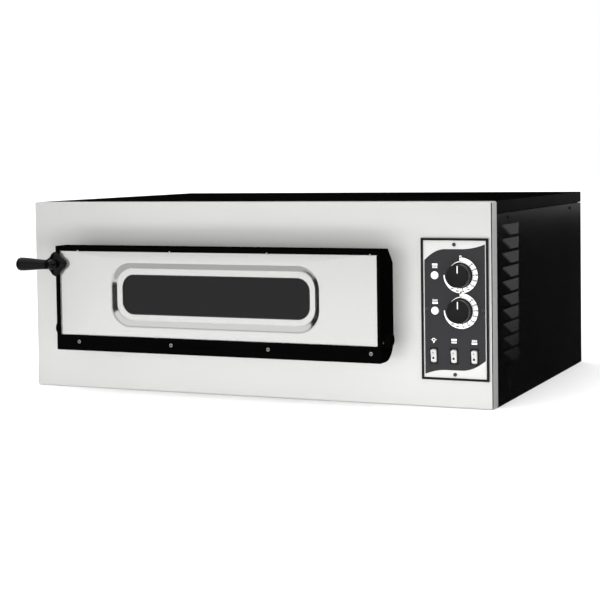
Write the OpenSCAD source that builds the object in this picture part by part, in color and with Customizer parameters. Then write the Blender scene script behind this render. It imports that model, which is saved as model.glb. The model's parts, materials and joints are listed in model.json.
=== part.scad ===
// Single-chamber electric deck oven for pizza and bread.
// Origin: centre of the flat base. +X to the right, -Y to the front, +Z up. Millimetres.
// Inside the modules, Y is counted from the front face of the facade (at_front moves it there).

/* [Cabinet] */
// Width of the cabinet
body_w = 915; // [910:1:930]
// Depth of the cabinet, facade to rear panel
body_d = 645; // [640:5:700]
// Height of the cabinet
body_h = 355; // [353:1:370]
// Thickness of the black cabinet sheets
sheet = 1.2; // [1:0.1:1.3]
// Thickness of the stainless facade
facade_t = 1.5; // [1.2:0.1:1.5]
// Depth of the facade's folded edges
facade_return = 28; // [22:1:34]
// Depth of the rear panel's folded edges
rear_return = 25; // [18:1:30]
// Height of the top cover's skirt
lid_skirt = 21.3; // [18:0.1:24]

/* [Door] */
// Width of the door over its cheeks
door_w = 649.5; // [648:0.5:652]
// Door centre, to the left of the cabinet's centre
door_shift = 45.75; // [45:0.25:46.5]
// Lower edge of the door
door_bottom = 80; // [80:1:81]
// Upper edge of the door
door_top = 275; // [272:0.5:275]
// How far the door's rim stands in front of the facade
door_proud = 65; // [64:0.5:68]
// How far the steel skin sits behind the rim
skin_recess = 5; // [4:0.5:6]
// Width of the rim along the cheeks
cheek_rim = 6.4; // [5:0.2:10]
// Height of the black strip under the skin
strip_h = 28.5; // [26:0.5:30]

/* [Window] */
// Width of the pressed recess at the skin
recess_w = 419; // [400:1:424]
// Height of the pressed recess at the skin
recess_h = 118; // [112:1:120]
// Width of the recess's sloping edge
recess_slope = 9.5; // [8:0.5:11]
// Depth of the pressed recess
recess_depth = 7; // [5:0.5:8]
// Width of the clear glass
pane_w = 376; // [360:1:380]
// Height of the clear glass
pane_h = 73; // [68:1:75]
// Corner radius of the clear glass
pane_r = 23; // [18:1:26]
// Height of the window's centre
window_z = 186; // [184:1:188]

/* [Chamber] */
// Inside width of the baking chamber
chamber_w = 610; // [600:2:612]
// Inside depth of the baking chamber
chamber_d = 500; // [480:5:502]
// Height of the chamber's floor sheet
chamber_z0 = 119; // [118:0.5:119.5]
// Height of the chamber's ceiling
chamber_z1 = 262; // [261:0.5:263]
// Thickness of the baking stones
stone_t = 15; // [12:0.5:15]
// Radius of the sheathed heating elements
element_r = 4; // [3.5:0.1:4]

/* [Controls] */
// Width of the control panel's frame
panel_w = 120.5; // [118:0.5:122]
// Height of the control panel's frame
panel_h = 244.5; // [242:0.5:248]
// Diameter of the thermostat knobs at the foot
knob_d = 44; // [40:1:46]
// Height of the thermostat knobs
knob_h = 20; // [18:0.5:22]

/* [Handle] */
// Diameter of the grip at its free end
grip_d1 = 25; // [22:0.5:26]
// Diameter of the grip beside the hub
grip_d0 = 18; // [16:0.5:20]
// Length of the grip
grip_l = 64; // [58:1:66]
// Width of the diamond hub across its corners
hub_w = 48; // [42:1:50]

/* [Hidden] */

$fn = 64;
eps = 0.01;      // overlap of tools that cut through
gap = 0.2;       // assembly gap between loose sheets
run = 0.05;      // radial clearance of turning fits
weld = 0.05;     // seam between spot-welded sheets

half_w = body_w / 2;
inner_x = half_w - sheet;                // inside face of the side panels
side_top = body_h - lid_skirt - 1;       // top edge of the side and rear panels
flange_h = 40;                           // upstand of the base panel
side_y0 = facade_return + 0.3;           // front edge of the side panels
side_y1 = body_d - rear_return - 0.3;    // rear edge of the side panels
screw_y = [101, 551];                    // case screws along the side
screw_low = 30.5;                        // height of the lower case screws
screw_high = 324.5;                      // height of the upper case screws
rear_screw_x = [-400, -130, 130, 400];
case_screw_r = 2;

door_x0 = -door_shift - door_w / 2;
door_x1 = -door_shift + door_w / 2;
rim_front = -door_proud;
rim_h = 9.5;                             // height of the rim above the skin
rim_depth = 40;                          // flat depth of the rim's top
rim_slope_z = 256;                       // lower edge of the rim's sloping rear part
skin_front = rim_front + skin_recess;
skin_back = skin_front + sheet;
cheek_t = 2;
cheek_back = -1.5;                       // rear edge of the cheeks
strip_top = door_bottom + strip_h;
pan_half = 295;                          // half width of the door's inner box
pan_back = -12;                          // face that meets the gasket
pan_z0 = 112;
pan_z1 = 258;
hinge_y = -40;
hinge_r = cheek_back - hinge_y;          // heel radius of the cheeks round the hinge
hinge_z = door_bottom + hinge_r;
pin_r = 6;
bush_r = 8.5;
boss_r = 13;
boss_l = 12.5;

window = [-door_shift, 0, window_z];
floor_back = skin_back + recess_depth;   // back face of the recess's floor
seal_t = 1;
glass_t = 4;
seal_w = 10;                             // overlap of glass and seal behind the sheet

opening_x = [-360, 268];                 // facade opening behind the door
opening_z = [88, 265];
mouth_half = 290;                        // half width of the mouth frame outside
mouth_rim = 8;
mouth_z = [136, 254];
mouth_front = -9;
mouth_back = 24;
plate_y = facade_t + gap;                // closing plate of the mouth frame
chamber_x = -door_shift;
chamber_y0 = mouth_back + sheet;
chamber_y1 = chamber_y0 + chamber_d;
ch_x0 = chamber_x - chamber_w / 2;
ch_x1 = chamber_x + chamber_w / 2;
stone_z = mouth_z[0] + mouth_rim - stone_t;
element_y = [80, 200, 320, 440];         // legs of the two hairpins
top_element_z = 251;
low_element_z = chamber_z0 + 1 + element_r;
hairpin_x = [ch_x0 + 90, 318];           // bend centre and terminal end
clip_x = [-250, -45, 160];
rail_y = [48, 260, 500];

bulkhead_x = 292;
panel_x = 391;                           // centre of the control panel
panel_z = 170.3;
frame_rim = 4;
frame_proud = 4;
plate_t = 1.5;
cutout_x = [344, 438];
cutout_z = [66, 273];
dial_x = 401.8;
dial_z = [229, 168];
lamp_x = 355.5;
switch_x = [352.6, 389, 425.4];
switch_z = 89.8;
plate_screws = [[390.6, 281.4], [390.6, 58], [341, 170.3], [441.6, 170.3]];
shaft_r = 3;
shaft_front = -plate_t - knob_h + 6;
rocker_w = 10.4;
rocker_h = 23.6;
rocker_tilt = 9;                         // lean of a rocker to either side
rocker_y = -0.5;                         // depth of the rocker's pivot
pivot_r = 1.5;
pivot_half = 5.9;                        // half length of the rocker's pivot
bezel_w = 14;
bezel_h = 28;

lamp_pos = [0, 262, 190];                // chamber lamp, in the right wall
lamp_r = 20;
sensor_y = 140;
sensor_z = [256.5, 123];
gland_pos = [400, body_d, 62];
stud_pos = [350, body_d, 62];
gland_bore = 6;
stud_r = 3;

hub_x = -370;
hub_z = 241;
hub_t = 6.5;
ball_r = 9.5;                            // ball collar between hub and grip
neck_r = 6;
arm_y = rim_front - 16;                  // axis of the ball and grip
grip_x = hub_x + 1 - ball_r;             // inner end of the grip

black = [0.05, 0.05, 0.05];
steel = [0.80, 0.80, 0.79];
inner_steel = [0.62, 0.63, 0.64];
wool = [0.86, 0.82, 0.66];

// Everything is drawn with Y = 0 at the facade's front face
module at_front() {
  translate([0, -body_d / 2, 0]) children();
}

// Box from its lowest and highest corners
module box(x, y, z) {
  translate([x[0], y[0], z[0]]) cube([x[1] - x[0], y[1] - y[0], z[1] - z[0]]);
}

// Cylinder along X, from x[0] to x[1]
module rod_x(r, x, y, z) {
  translate([x[0], y, z]) rotate([0, 90, 0]) cylinder(r = r, h = x[1] - x[0]);
}

// Cylinder along Y, from y[0] to y[1]
module rod_y(r, x, y, z) {
  translate([x, y[1], z]) rotate([90, 0, 0]) cylinder(r = r, h = y[1] - y[0]);
}

// Upright plate outline with rounded corners, centred, w along X and h along Z
module slab(w, h, r, y) {
  translate([0, y[1], 0]) rotate([90, 0, 0]) linear_extrude(y[1] - y[0]) rounded(w, h, r);
}

module rounded(w, h, r) {
  square([w - 2 * r, h], center = true);
  square([w, h - 2 * r], center = true);
  for (sx = [-1, 1], sz = [-1, 1])
    translate([sx * (w / 2 - r), sz * (h / 2 - r)]) circle(r);
}

// Rectangular upright ring between two corners, with a rim of the given width
module ring(x, z, rim, y) {
  difference() {
    box(x, y, z);
    box([x[0] + rim, x[1] - rim], [y[0] - 1, y[1] + 1], [z[0] + rim, z[1] - rim]);
  }
}

// Unit direction of a route at point i
function along(p, i) =
  let (d = p[min(i + 1, len(p) - 1)] - p[max(i - 1, 0)]) d / norm(d);

// Round tube with eight sides swept along a route
module wire(points, r) {
  sides = 8;
  n = len(points);
  rings = [for (i = [0 : n - 1])
    let (t = along(points, i), side = cross(t, [0.31, 0.17, 0.93]), u = side / norm(side),
      v = cross(t, u))
      for (k = [0 : sides - 1])
        points[i] + r * (cos(k * 360 / sides) * u + sin(k * 360 / sides) * v)];
  walls = [for (i = [0 : n - 2], k = [0 : sides - 1])
    let (a = i * sides + k, b = i * sides + (k + 1) % sides) [a + sides, b + sides, b, a]];
  start_cap = [for (k = [0 : sides - 1]) k];
  end_cap = [for (k = [sides - 1 : -1 : 0]) (n - 1) * sides + k];
  polyhedron(points = rings, faces = concat(walls, [start_cap, end_cap]));
}

// Ball on a round neck, turned about Z: the neck starts at 0 and the ball's centre is at h
module ball_on_neck(ball, neck, h) {
  rotate_extrude() polygon(concat([[0, 0], [neck, 0]],
    [for (t = [0 : 12]) let (a = asin(neck / ball) + t / 12 * (180 - asin(neck / ball)))
      [t < 12 ? ball * sin(a) : 0, h - ball * cos(a)]]));
}

// Pan-head screw: head proud of the face, shank behind it, along -Y
module screw_front(x, y, z, head_r, head_h, shank_r, shank_l) {
  difference() {
    union() {
      rod_y(head_r, x, [y - head_h, y], z);
      rod_y(shank_r, x, [y, y + shank_l], z);
    }
    for (a = [0, 90])
      translate([x, y - head_h, z]) rotate([0, a, 0]) cube([head_r, 1, 0.9], center = true);
  }
}

// Outer cabinet

module base_panel() {
  y = [side_y0, body_d - sheet - 2 * gap];
  x = inner_x - gap;
  color(black) at_front() difference() {
    box([-x, x], y, [0, flange_h]);
    box([-x + sheet, x - sheet], [y[0] - 1, y[1] - sheet], [sheet, flange_h + 1]);
    for (sx = [-1, 1], sy = screw_y)
      rod_x(case_screw_r, [sx * x - 5, sx * x + 5], sy, screw_low);
    for (sx = rear_screw_x)
      rod_y(case_screw_r, sx, [y[1] - 5, y[1] + 5], screw_low);
  }
}

// Side panel on the right; the left one is its mirror image without louvres
module side_sheet() {
  difference() {
    union() {
      box([inner_x, half_w], [side_y0, side_y1], [0, side_top]);
      box([inner_x - 14, inner_x + eps], [side_y0, side_y1], [side_top - sheet, side_top]);
    }
    for (sy = screw_y, z = [screw_low, screw_high])
      rod_x(case_screw_r, [inner_x - 1, half_w + 1], sy, z);
    for (sy = screw_y)
      box([inner_x - 15, inner_x - gap + eps], [sy - 16, sy + 16], [side_top - 2 * sheet, side_top + 1]);
  }
}

louvre_y = [62, 164];
louvre_h = 18;
louvre_out = 7;
louvre_pitch = 24.6;
louvre_z = 73;
louvre_count = 10;

// Pressed hood: flush at its top and front end, open along its lower edge
module hood(out, h, y, lead) {
  intersection() {
    translate([half_w, y[1], 0]) rotate([90, 0, 0]) linear_extrude(y[1] - y[0])
      polygon([[-1, 0], [out, 0], [out, h * 0.22], [out * 0.7, h * 0.62], [0, h], [-1, h]]);
    translate([half_w, 0, -1]) linear_extrude(h + 2)
      polygon([[-1, y[0]], [0, y[0]], [out, y[0] + lead], [out, y[1] - lead * 0.45],
        [0, y[1]], [-1, y[1]]]);
  }
}

module right_side_panel() {
  color(black) at_front() {
    difference() {
      side_sheet();
      for (i = [0 : louvre_count - 1])
        box([inner_x - 1, half_w + 1], [louvre_y[0] + 12, louvre_y[1] - 6],
          [louvre_z + i * louvre_pitch, louvre_z + i * louvre_pitch + louvre_h * 0.7]);
    }
    for (i = [0 : louvre_count - 1])
      translate([0, 0, louvre_z + i * louvre_pitch]) difference() {
        hood(louvre_out, louvre_h, louvre_y, 24);
        translate([-sheet, 0, -sheet])
          hood(louvre_out, louvre_h, [louvre_y[0] + sheet, louvre_y[1] - sheet], 24);
        box([half_w - 2, half_w], [louvre_y[0] - 1, louvre_y[1] + 1], [-1, louvre_h + 1]);
      }
  }
}

module left_side_panel() {
  color(black) at_front() mirror([1, 0, 0]) side_sheet();
}

module rear_panel() {
  color(black) at_front() difference() {
    box([-half_w, half_w], [body_d - rear_return, body_d], [0, side_top]);
    box([-inner_x, inner_x], [body_d - rear_return - 1, body_d - sheet], [-1, side_top + 1]);
    for (x = rear_screw_x, z = [screw_low, screw_high])
      rod_y(case_screw_r, x, [body_d - 3, body_d + 1], z);
    rod_y(8, gland_pos[0], [body_d - 3, body_d + 1], gland_pos[2]);
    rod_y(stud_r, stud_pos[0], [body_d - 3, body_d + 1], stud_pos[2]);
    for (i = [0 : 4])
      box([330, 430], [body_d - 3, body_d + 1], [180 + i * 14, 185 + i * 14]);
  }
}

module top_cover() {
  tab_z = [screw_high - 10, body_h - sheet + eps];
  tab_x = inner_x - gap;
  color(black) at_front() {
    difference() {
      box([-half_w, half_w], [side_y0, body_d], [body_h - lid_skirt, body_h]);
      box([-inner_x, inner_x], [side_y0 - 1, body_d - sheet],
        [body_h - lid_skirt - 1, body_h - sheet]);
    }
    box([-inner_x + 5, inner_x - 5], [12, 40], [body_h - 2 * sheet - 2 * gap, body_h - sheet - 2 * gap]);
    box([-inner_x + 5, inner_x - 5], [side_y0, 40],
      [body_h - 2 * sheet - 2 * gap, body_h - sheet + eps]);
    difference() {
      for (sx = [-1, 1], sy = screw_y)
        box(sx > 0 ? [tab_x - sheet, tab_x] : [-tab_x, -tab_x + sheet], [sy - 14, sy + 14], tab_z);
      for (sx = [-1, 1], sy = screw_y)
        rod_x(case_screw_r, [sx * tab_x - 3, sx * tab_x + 3], sy, screw_high);
    }
    difference() {
      for (x = rear_screw_x)
        box([x - 14, x + 14], [body_d - 2 * sheet - gap, body_d - sheet - gap], tab_z);
      for (x = rear_screw_x)
        rod_y(case_screw_r, x, [body_d - 6, body_d + 1], screw_high);
    }
  }
}

module front_facade() {
  color(steel) at_front() difference() {
    box([-half_w, half_w], [0, facade_return], [0, body_h]);
    box([-half_w + facade_t, half_w - facade_t], [facade_t, facade_return + 1],
      [facade_t, body_h - facade_t + eps]);
    box(opening_x, [-1, facade_t + 1], opening_z);
    box(cutout_x, [-1, facade_t + 1], cutout_z);
    for (p = plate_screws)
      rod_y(1.5, p[0], [-1, facade_t + 1], p[1]);
  }
}

// Wall between the chamber and the controls
module control_bulkhead() {
  y = [facade_return + 2, body_d - 8];
  color(inner_steel) at_front() difference() {
    union() {
      box([bulkhead_x, bulkhead_x + sheet], y, [sheet, body_h - 6]);
      box([bulkhead_x, bulkhead_x + 20], y, [sheet, 2 * sheet]);
    }
    for (ey = element_y, z = [top_element_z, low_element_z])
      rod_x(7, [bulkhead_x - 1, bulkhead_x + 3], ey, z);
    for (z = sensor_z)
      rod_x(3, [bulkhead_x - 1, bulkhead_x + 3], sensor_y, z);
    rod_x(lamp_r + 3, [bulkhead_x - 1, bulkhead_x + 3], lamp_pos[1], lamp_pos[2]);
  }
}

// Baking chamber

// Five sheets spot-welded to a box, and four strips that close its front round the mouth
module chamber_shell() {
  t = sheet;
  x = [ch_x0 - t, ch_x1 + t];
  z = [chamber_z0 - t, chamber_z1 + t];
  front = [mouth_back, chamber_y0];
  mouth_x = [chamber_x - mouth_half + mouth_rim, chamber_x + mouth_half - mouth_rim];
  color(inner_steel) at_front() {
    for (low = [z[0], chamber_z1])
      box(x, [chamber_y0 + weld, chamber_y1 + t], [low, low + t]);
    box([ch_x0, ch_x1], [chamber_y1, chamber_y1 + t], [chamber_z0 + weld, chamber_z1 - weld]);
    box([x[0], ch_x0 - weld], [chamber_y0 + weld, chamber_y1 + t],
      [chamber_z0 + weld, chamber_z1 - weld]);
    difference() {
      box([ch_x1 + weld, x[1]], [chamber_y0 + weld, chamber_y1 + t],
        [chamber_z0 + weld, chamber_z1 - weld]);
      for (ey = element_y, ez = [top_element_z, low_element_z])
        rod_x(element_r + gap, [ch_x1 - 1, ch_x1 + t + 1], ey, ez);
      for (sz = sensor_z)
        rod_x(1.4, [ch_x1 - 1, ch_x1 + t + 1], sensor_y, sz);
      rod_x(lamp_r - 2, [ch_x1 - 1, ch_x1 + t + 1], lamp_pos[1], lamp_pos[2]);
    }
    box(x, front, [z[0], mouth_z[0] + mouth_rim]);
    box(x, front, [mouth_z[1] - mouth_rim, z[1]]);
    for (side = [[x[0], mouth_x[0]], [mouth_x[1], x[1]]])
      box(side, front, [mouth_z[0] + mouth_rim + weld, mouth_z[1] - mouth_rim - weld]);
  }
}

// Folded frame of the mouth: closing plate behind the facade and a hollow rim towards the door
module mouth_frame() {
  x = [chamber_x - mouth_half, chamber_x + mouth_half];
  color(inner_steel) at_front() {
    difference() {
      union() {
        box([opening_x[0] - 12, opening_x[1] + 12], [plate_y, plate_y + sheet],
          [opening_z[0] - 12, opening_z[1] + 12]);
        ring(x, mouth_z, mouth_rim, [mouth_front, mouth_back]);
      }
      ring([x[0] + sheet, x[1] - sheet], [mouth_z[0] + sheet, mouth_z[1] - sheet],
        mouth_rim - 2 * sheet, [mouth_front + sheet, mouth_back + 1]);
      box([x[0] + mouth_rim, x[1] - mouth_rim], [mouth_front - 1, mouth_back + 1],
        [mouth_z[0] + mouth_rim, mouth_z[1] - mouth_rim]);
    }
  }
}

module mouth_gasket() {
  w = 2 * mouth_half - mouth_rim;
  h = mouth_z[1] - mouth_z[0] - mouth_rim;
  y = [pan_back + 0.1, mouth_front];
  color([0.35, 0.34, 0.32]) at_front() translate([chamber_x, 0, (mouth_z[0] + mouth_z[1]) / 2])
    difference() {
      slab(w + 5, h + 5, 8, y);
      slab(w - 5, h - 5, 4, [y[0] - 1, y[1] + 1]);
    }
}

module stone(x) {
  color([0.83, 0.76, 0.64]) at_front() difference() {
    box(x, [chamber_y0 + 3, chamber_y1 - 6], [stone_z, stone_z + stone_t]);
    for (sx = x, sy = [chamber_y0 + 3, chamber_y1 - 6])
      translate([sx, sy, stone_z + stone_t / 2]) rotate([0, 0, 45])
        cube([5, 5, stone_t + 1], center = true);
  }
}

module left_stone() {
  stone([ch_x0 + 2, chamber_x - 0.5]);
}

module right_stone() {
  stone([chamber_x + 0.5, ch_x1 - 2]);
}

// Upside-down channels that carry the stones
module stone_rails() {
  color(inner_steel) at_front() for (y = rail_y)
    difference() {
      box([ch_x0 + 4, ch_x1 - 4], [y - 8, y + 8], [chamber_z0, stone_z]);
      box([ch_x0 + 3, ch_x1 - 3], [y - 8 + sheet, y + 8 - sheet], [chamber_z0 - 1, stone_z - sheet]);
    }
}

// Hairpin element: two legs along X and a half-round bend at the left
module hairpin(y, z) {
  bend = (y[1] - y[0]) / 2;
  for (leg = y) {
    rod_x(element_r, [hairpin_x[0], hairpin_x[1]], leg, z);
    rod_x(2, [hairpin_x[1] - eps, hairpin_x[1] + 10], leg, z);
  }
  translate([hairpin_x[0], (y[0] + y[1]) / 2, z]) rotate([0, 0, 90])
    rotate_extrude(angle = 180) translate([bend, 0]) circle(element_r, $fn = 24);
}

module element_pair(z) {
  color([0.28, 0.27, 0.27]) at_front() {
    hairpin([element_y[0], element_y[1]], z);
    hairpin([element_y[2], element_y[3]], z);
  }
}

module top_elements() {
  element_pair(top_element_z);
}

module bottom_elements() {
  element_pair(low_element_z);
}

// Saddles that hold the elements to the ceiling and to the floor
module element_clips() {
  color(inner_steel) at_front() for (x = clip_x, y = element_y)
    difference() {
      union() {
        box([x, x + 3], [y - 8, y + 8], [top_element_z - element_r, chamber_z1]);
        box([x, x + 3], [y - 8, y + 8], [chamber_z0, low_element_z]);
      }
      for (z = [top_element_z, low_element_z])
        rod_x(element_r + 0.05, [x - 1, x + 4], y, z);
    }
}

// Insulation

wool_x = [-inner_x + 6, bulkhead_x - 0.5];
wool_y = [facade_return + 3, body_d - 8];
wool_t = sheet + 0.3;

module top_insulation() {
  color(wool) at_front()
    box([wool_x[0] + 9, wool_x[1]], wool_y, [chamber_z1 + wool_t, side_top - 22]);
}

module bottom_insulation() {
  color(wool) at_front() box(wool_x, wool_y, [sheet + 0.5, chamber_z0 - wool_t]);
}

module side_insulation() {
  z = [chamber_z0 - wool_t + eps, chamber_z1 + wool_t - eps];
  color(wool) at_front() {
    box([wool_x[0], ch_x0 - wool_t], wool_y, z);
    box([ch_x0 - wool_t + 0.5, ch_x1 + sheet], [chamber_y1 + wool_t, wool_y[1]], z);
    difference() {
      box([ch_x1 + wool_t, wool_x[1]], wool_y, z);
      for (ey = element_y, ez = [top_element_z, low_element_z])
        rod_x(element_r + 2, [ch_x1, bulkhead_x], ey, ez);
      for (sz = sensor_z)
        rod_x(3, [ch_x1, bulkhead_x], sensor_y, sz);
      rod_x(lamp_r + 3, [ch_x1, bulkhead_x], lamp_pos[1], lamp_pos[2]);
    }
  }
}

// Chamber lamp, set in the right wall

module lamp_holder() {
  x = ch_x1 + sheet;
  color(inner_steel) at_front() difference() {
    union() {
      rod_x(lamp_r + 1, [x, x + 60], lamp_pos[1], lamp_pos[2]);
      rod_x(8, [x + 60 - eps, x + 72], lamp_pos[1], lamp_pos[2]);
    }
    rod_x(lamp_r, [x - 1, x + 58], lamp_pos[1], lamp_pos[2]);
    rod_x(7, [x + 57, x + 70], lamp_pos[1], lamp_pos[2]);
  }
}

module lamp_bulb() {
  base = ch_x1 + sheet + 69;
  color([1, 0.97, 0.85]) at_front() translate([base, lamp_pos[1], lamp_pos[2]])
    rotate([0, -90, 0]) ball_on_neck(12, 7 - run, 37);
}

// Round window in the chamber wall: a plug through the wall and a flange in the holder
module lamp_glass() {
  x = ch_x1 + sheet;
  color([0.9, 0.95, 0.95, 0.5]) at_front() {
    rod_x(lamp_r - 0.1, [x, x + 4], lamp_pos[1], lamp_pos[2]);
    rod_x(lamp_r - 2.1, [ch_x1 - 0.5, x + eps], lamp_pos[1], lamp_pos[2]);
  }
}

// Controls

// Capillary thermostat: body behind the plate with a bore for its shaft
module thermostat(z) {
  color([0.55, 0.5, 0.42]) at_front() difference() {
    union() {
      box([dial_x - 21, dial_x + 21], [facade_t + 2, facade_t + 30], [z - 21, z + 21]);
      rod_y(7, dial_x, [0, facade_t + 3], z);
    }
    rod_y(shaft_r + run, dial_x, [-1, facade_t + 26], z);
  }
}

module upper_thermostat() {
  thermostat(dial_z[0]);
}

module lower_thermostat() {
  thermostat(dial_z[1]);
}

// Liquid bulbs in the chamber with the capillaries to the thermostats
module sensing_bulbs() {
  back = facade_t + 31;
  color([0.72, 0.45, 0.2]) at_front() for (i = [0, 1]) {
    rod_x(3, [ch_x1 - 105, ch_x1 - 15], sensor_y, sensor_z[i]);
    wire([[ch_x1 - 15, sensor_y, sensor_z[i]], [bulkhead_x + 12, sensor_y, sensor_z[i]],
      [dial_x, back + 30, dial_z[i]], [dial_x, back - 1, dial_z[i]]], 1);
  }
}

module control_frame() {
  color(black) at_front() ring([panel_x - panel_w / 2, panel_x + panel_w / 2],
    [panel_z - panel_h / 2, panel_z + panel_h / 2], frame_rim, [-frame_proud, 0]);
}

module control_plate() {
  w = panel_w / 2 - frame_rim;
  h = panel_h / 2 - frame_rim;
  color([0.25, 0.25, 0.26]) at_front() difference() {
    box([panel_x - w, panel_x + w], [-plate_t, 0], [panel_z - h, panel_z + h]);
    for (z = dial_z) {
      rod_y(shaft_r + 0.6, dial_x, [-plate_t - 1, 1], z);
      rod_y(5.1, lamp_x, [-plate_t - 1, 1], z - 0.5);
    }
    for (x = switch_x)
      box([x - bezel_w / 2 + 1, x + bezel_w / 2 - 1], [-plate_t - 1, 1],
        [switch_z - bezel_h / 2 + 1, switch_z + bezel_h / 2 - 1]);
    for (p = plate_screws)
      rod_y(1.5, p[0], [-plate_t - 1, 1], p[1]);
  }
}

module control_screws() {
  color([0.3, 0.3, 0.3]) at_front() for (p = plate_screws)
    screw_front(p[0], -plate_t, p[1], 3.2, 1.4, 1.5, plate_t + facade_t + 3);
}

// Pilot lamp: domed lens in front, body behind
module pilot_lamp(z) {
  color([0.95, 0.95, 0.93]) at_front() {
    rod_y(6.8, lamp_x, [-plate_t - 2, -plate_t], z);
    intersection() {
      translate([lamp_x, -plate_t + 5.5, z]) sphere(10.2);
      rod_y(6.5, lamp_x, [-plate_t - 5, -plate_t - 1], z);
    }
    rod_y(5.1 - run, lamp_x, [-plate_t - eps, 24], z);
  }
}

module upper_pilot_lamp() {
  pilot_lamp(dial_z[0] - 0.5);
}

module lower_pilot_lamp() {
  pilot_lamp(dial_z[1] - 0.5);
}

// Rocker switch housings: bezel on the plate, body behind, pocket for the rocker
module switch_housings() {
  color(black) at_front() for (x = switch_x)
    difference() {
      union() {
        box([x - bezel_w / 2, x + bezel_w / 2], [-plate_t - 1.5, -plate_t],
          [switch_z - bezel_h / 2, switch_z + bezel_h / 2]);
        box([x - bezel_w / 2 + 1, x + bezel_w / 2 - 1], [-plate_t - eps, 22],
          [switch_z - bezel_h / 2 + 1, switch_z + bezel_h / 2 - 1]);
      }
      box([x - rocker_w / 2 - 0.3, x + rocker_w / 2 + 0.3], [-plate_t - 2, 8],
        [switch_z - rocker_h / 2 - 0.6, switch_z + rocker_h / 2 + 0.6]);
      rod_x(pivot_r + run, [x - pivot_half - run, x + pivot_half + run], rocker_y, switch_z);
    }
}

// Rocker with a shallow V face, leaning with its lower end in
module rocker(x) {
  color([0.78, 0.78, 0.76]) at_front() translate([x, rocker_y, switch_z]) {
    rotate([rocker_tilt, 0, 0]) difference() {
      translate([-rocker_w / 2, 0, 0]) rotate([90, 0, 90]) linear_extrude(rocker_w)
        polygon([[-5.2, 11.4], [-3.9, 6], [-3.4, 0], [-3.9, -6], [-5.2, -11.4], [-1, -11.2],
          [4, -5], [4, 5], [-1, 11.2]]);
      rod_y(1.1, 0, [-6, -3.6], -5.2);
    }
    rod_x(pivot_r, [-pivot_half, pivot_half], 0, 0);
  }
}

module lamp_rocker() {
  rocker(switch_x[0]);
}

module top_heat_rocker() {
  rocker(switch_x[1]);
}

module bottom_heat_rocker() {
  rocker(switch_x[2]);
}

// Knob with a skirt, a waist, a chamfered face and a blind hole for its shaft
module knob(z) {
  r = knob_d / 2;
  y = -plate_t - 1;
  color(black) at_front() difference() {
    translate([dial_x, y, z]) rotate([90, 0, 0]) rotate_extrude()
      polygon([[0, 0], [r, 0], [r, 2.5], [r - 1.6, 4], [r - 2.2, knob_h - 4],
        [r - 3.4, knob_h - 2], [r - 5, knob_h - 1], [0, knob_h - 1]]);
    rod_y(shaft_r, dial_x, [shaft_front, y + 1], z);
    box([dial_x - 0.8, dial_x + 0.8], [y - knob_h - 1, y - knob_h + 1.6],
      [z + 6, z + r - 5.5]);
  }
}

module upper_knob() {
  knob(dial_z[0]);
}

module lower_knob() {
  knob(dial_z[1]);
}

module shaft(z) {
  color(inner_steel) at_front() rod_y(shaft_r, dial_x, [shaft_front, facade_t + 25], z);
}

module upper_shaft() {
  shaft(dial_z[0]);
}

module lower_shaft() {
  shaft(dial_z[1]);
}

// Electrics at the rear of the control compartment

block_pos = [330, 560, 1.4];

module terminal_block() {
  color([0.9, 0.88, 0.8]) at_front() difference() {
    translate(block_pos) cube([96, 30, 26]);
    for (i = [0 : 5])
      translate(block_pos + [9 + i * 15.6, 15, 14]) cylinder(r = 4, h = 13);
  }
}

wire_starts = [for (i = [0 : 5]) block_pos + [9 + i * 15.6, 15, 14 + 4]];
wire_ends = [[switch_x[0], 24, switch_z], [switch_x[1], 24, switch_z], [switch_x[2], 24, switch_z],
  [dial_x - 12, facade_t + 34, dial_z[0] - 8], [dial_x + 12, facade_t + 34, dial_z[1] - 8],
  [hairpin_x[1] + 13, element_y[1], top_element_z]];

// Insulated leads from the terminal block
module wiring() {
  color([0.6, 0.12, 0.1]) at_front() for (i = [0 : 5])
    wire([wire_starts[i], wire_starts[i] + [0, 0, 30 + 6 * i],
      [wire_starts[i][0], 300, 50 + 6 * i], [wire_ends[i][0], wire_ends[i][1] + 50, 60 + 6 * i],
      wire_ends[i] + [0, 20, 0], wire_ends[i]], 1.5);
}

// Gland with a hexagonal body and nut; its bore takes the supply cable
module cable_gland() {
  color([0.15, 0.15, 0.15]) at_front() translate(gland_pos) difference() {
    union() {
      translate([0, 12, 0]) rotate([90, 0, 0]) cylinder(r = 13, h = 12, $fn = 6);
      translate([0, 20, 0]) rotate([90, 0, 0]) cylinder(r = 10.5, h = 9);
      translate([0, 1, 0]) rotate([90, 0, 0]) cylinder(r = 8, h = 18);
      translate([0, -sheet, 0]) rotate([90, 0, 0]) cylinder(r = 12, h = 5, $fn = 6);
    }
    translate([0, 30, 0]) rotate([90, 0, 0]) cylinder(r = gland_bore, h = 60);
  }
}

module earth_stud() {
  color([0.8, 0.7, 0.35]) at_front() translate(stud_pos) {
    translate([0, 18, 0]) rotate([90, 0, 0]) cylinder(r = stud_r, h = 26);
    translate([0, 5, 0]) rotate([90, 0, 0]) cylinder(r = 6, h = 5, $fn = 6);
    translate([0, -sheet, 0]) rotate([90, 0, 0]) cylinder(r = 6, h = 5, $fn = 6);
  }
}

// Pan heads on both sides and the rear
module case_screws() {
  color(black) at_front() {
    for (sx = [-1, 1], y = screw_y, z = [screw_low, screw_high])
      translate([sx * half_w, y, z]) rotate([0, sx * 90, 0]) case_screw();
    for (x = rear_screw_x, z = [screw_low, screw_high])
      translate([x, body_d, z]) rotate([-90, 0, 0]) case_screw();
  }
}

module case_screw() {
  cylinder(r1 = 4, r2 = 3, h = 2);
  translate([0, 0, -6]) cylinder(r = case_screw_r, h = 6 + eps);
}

// Door hinge. Each part is drawn for the right side and mirrored about the door's middle.

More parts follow.
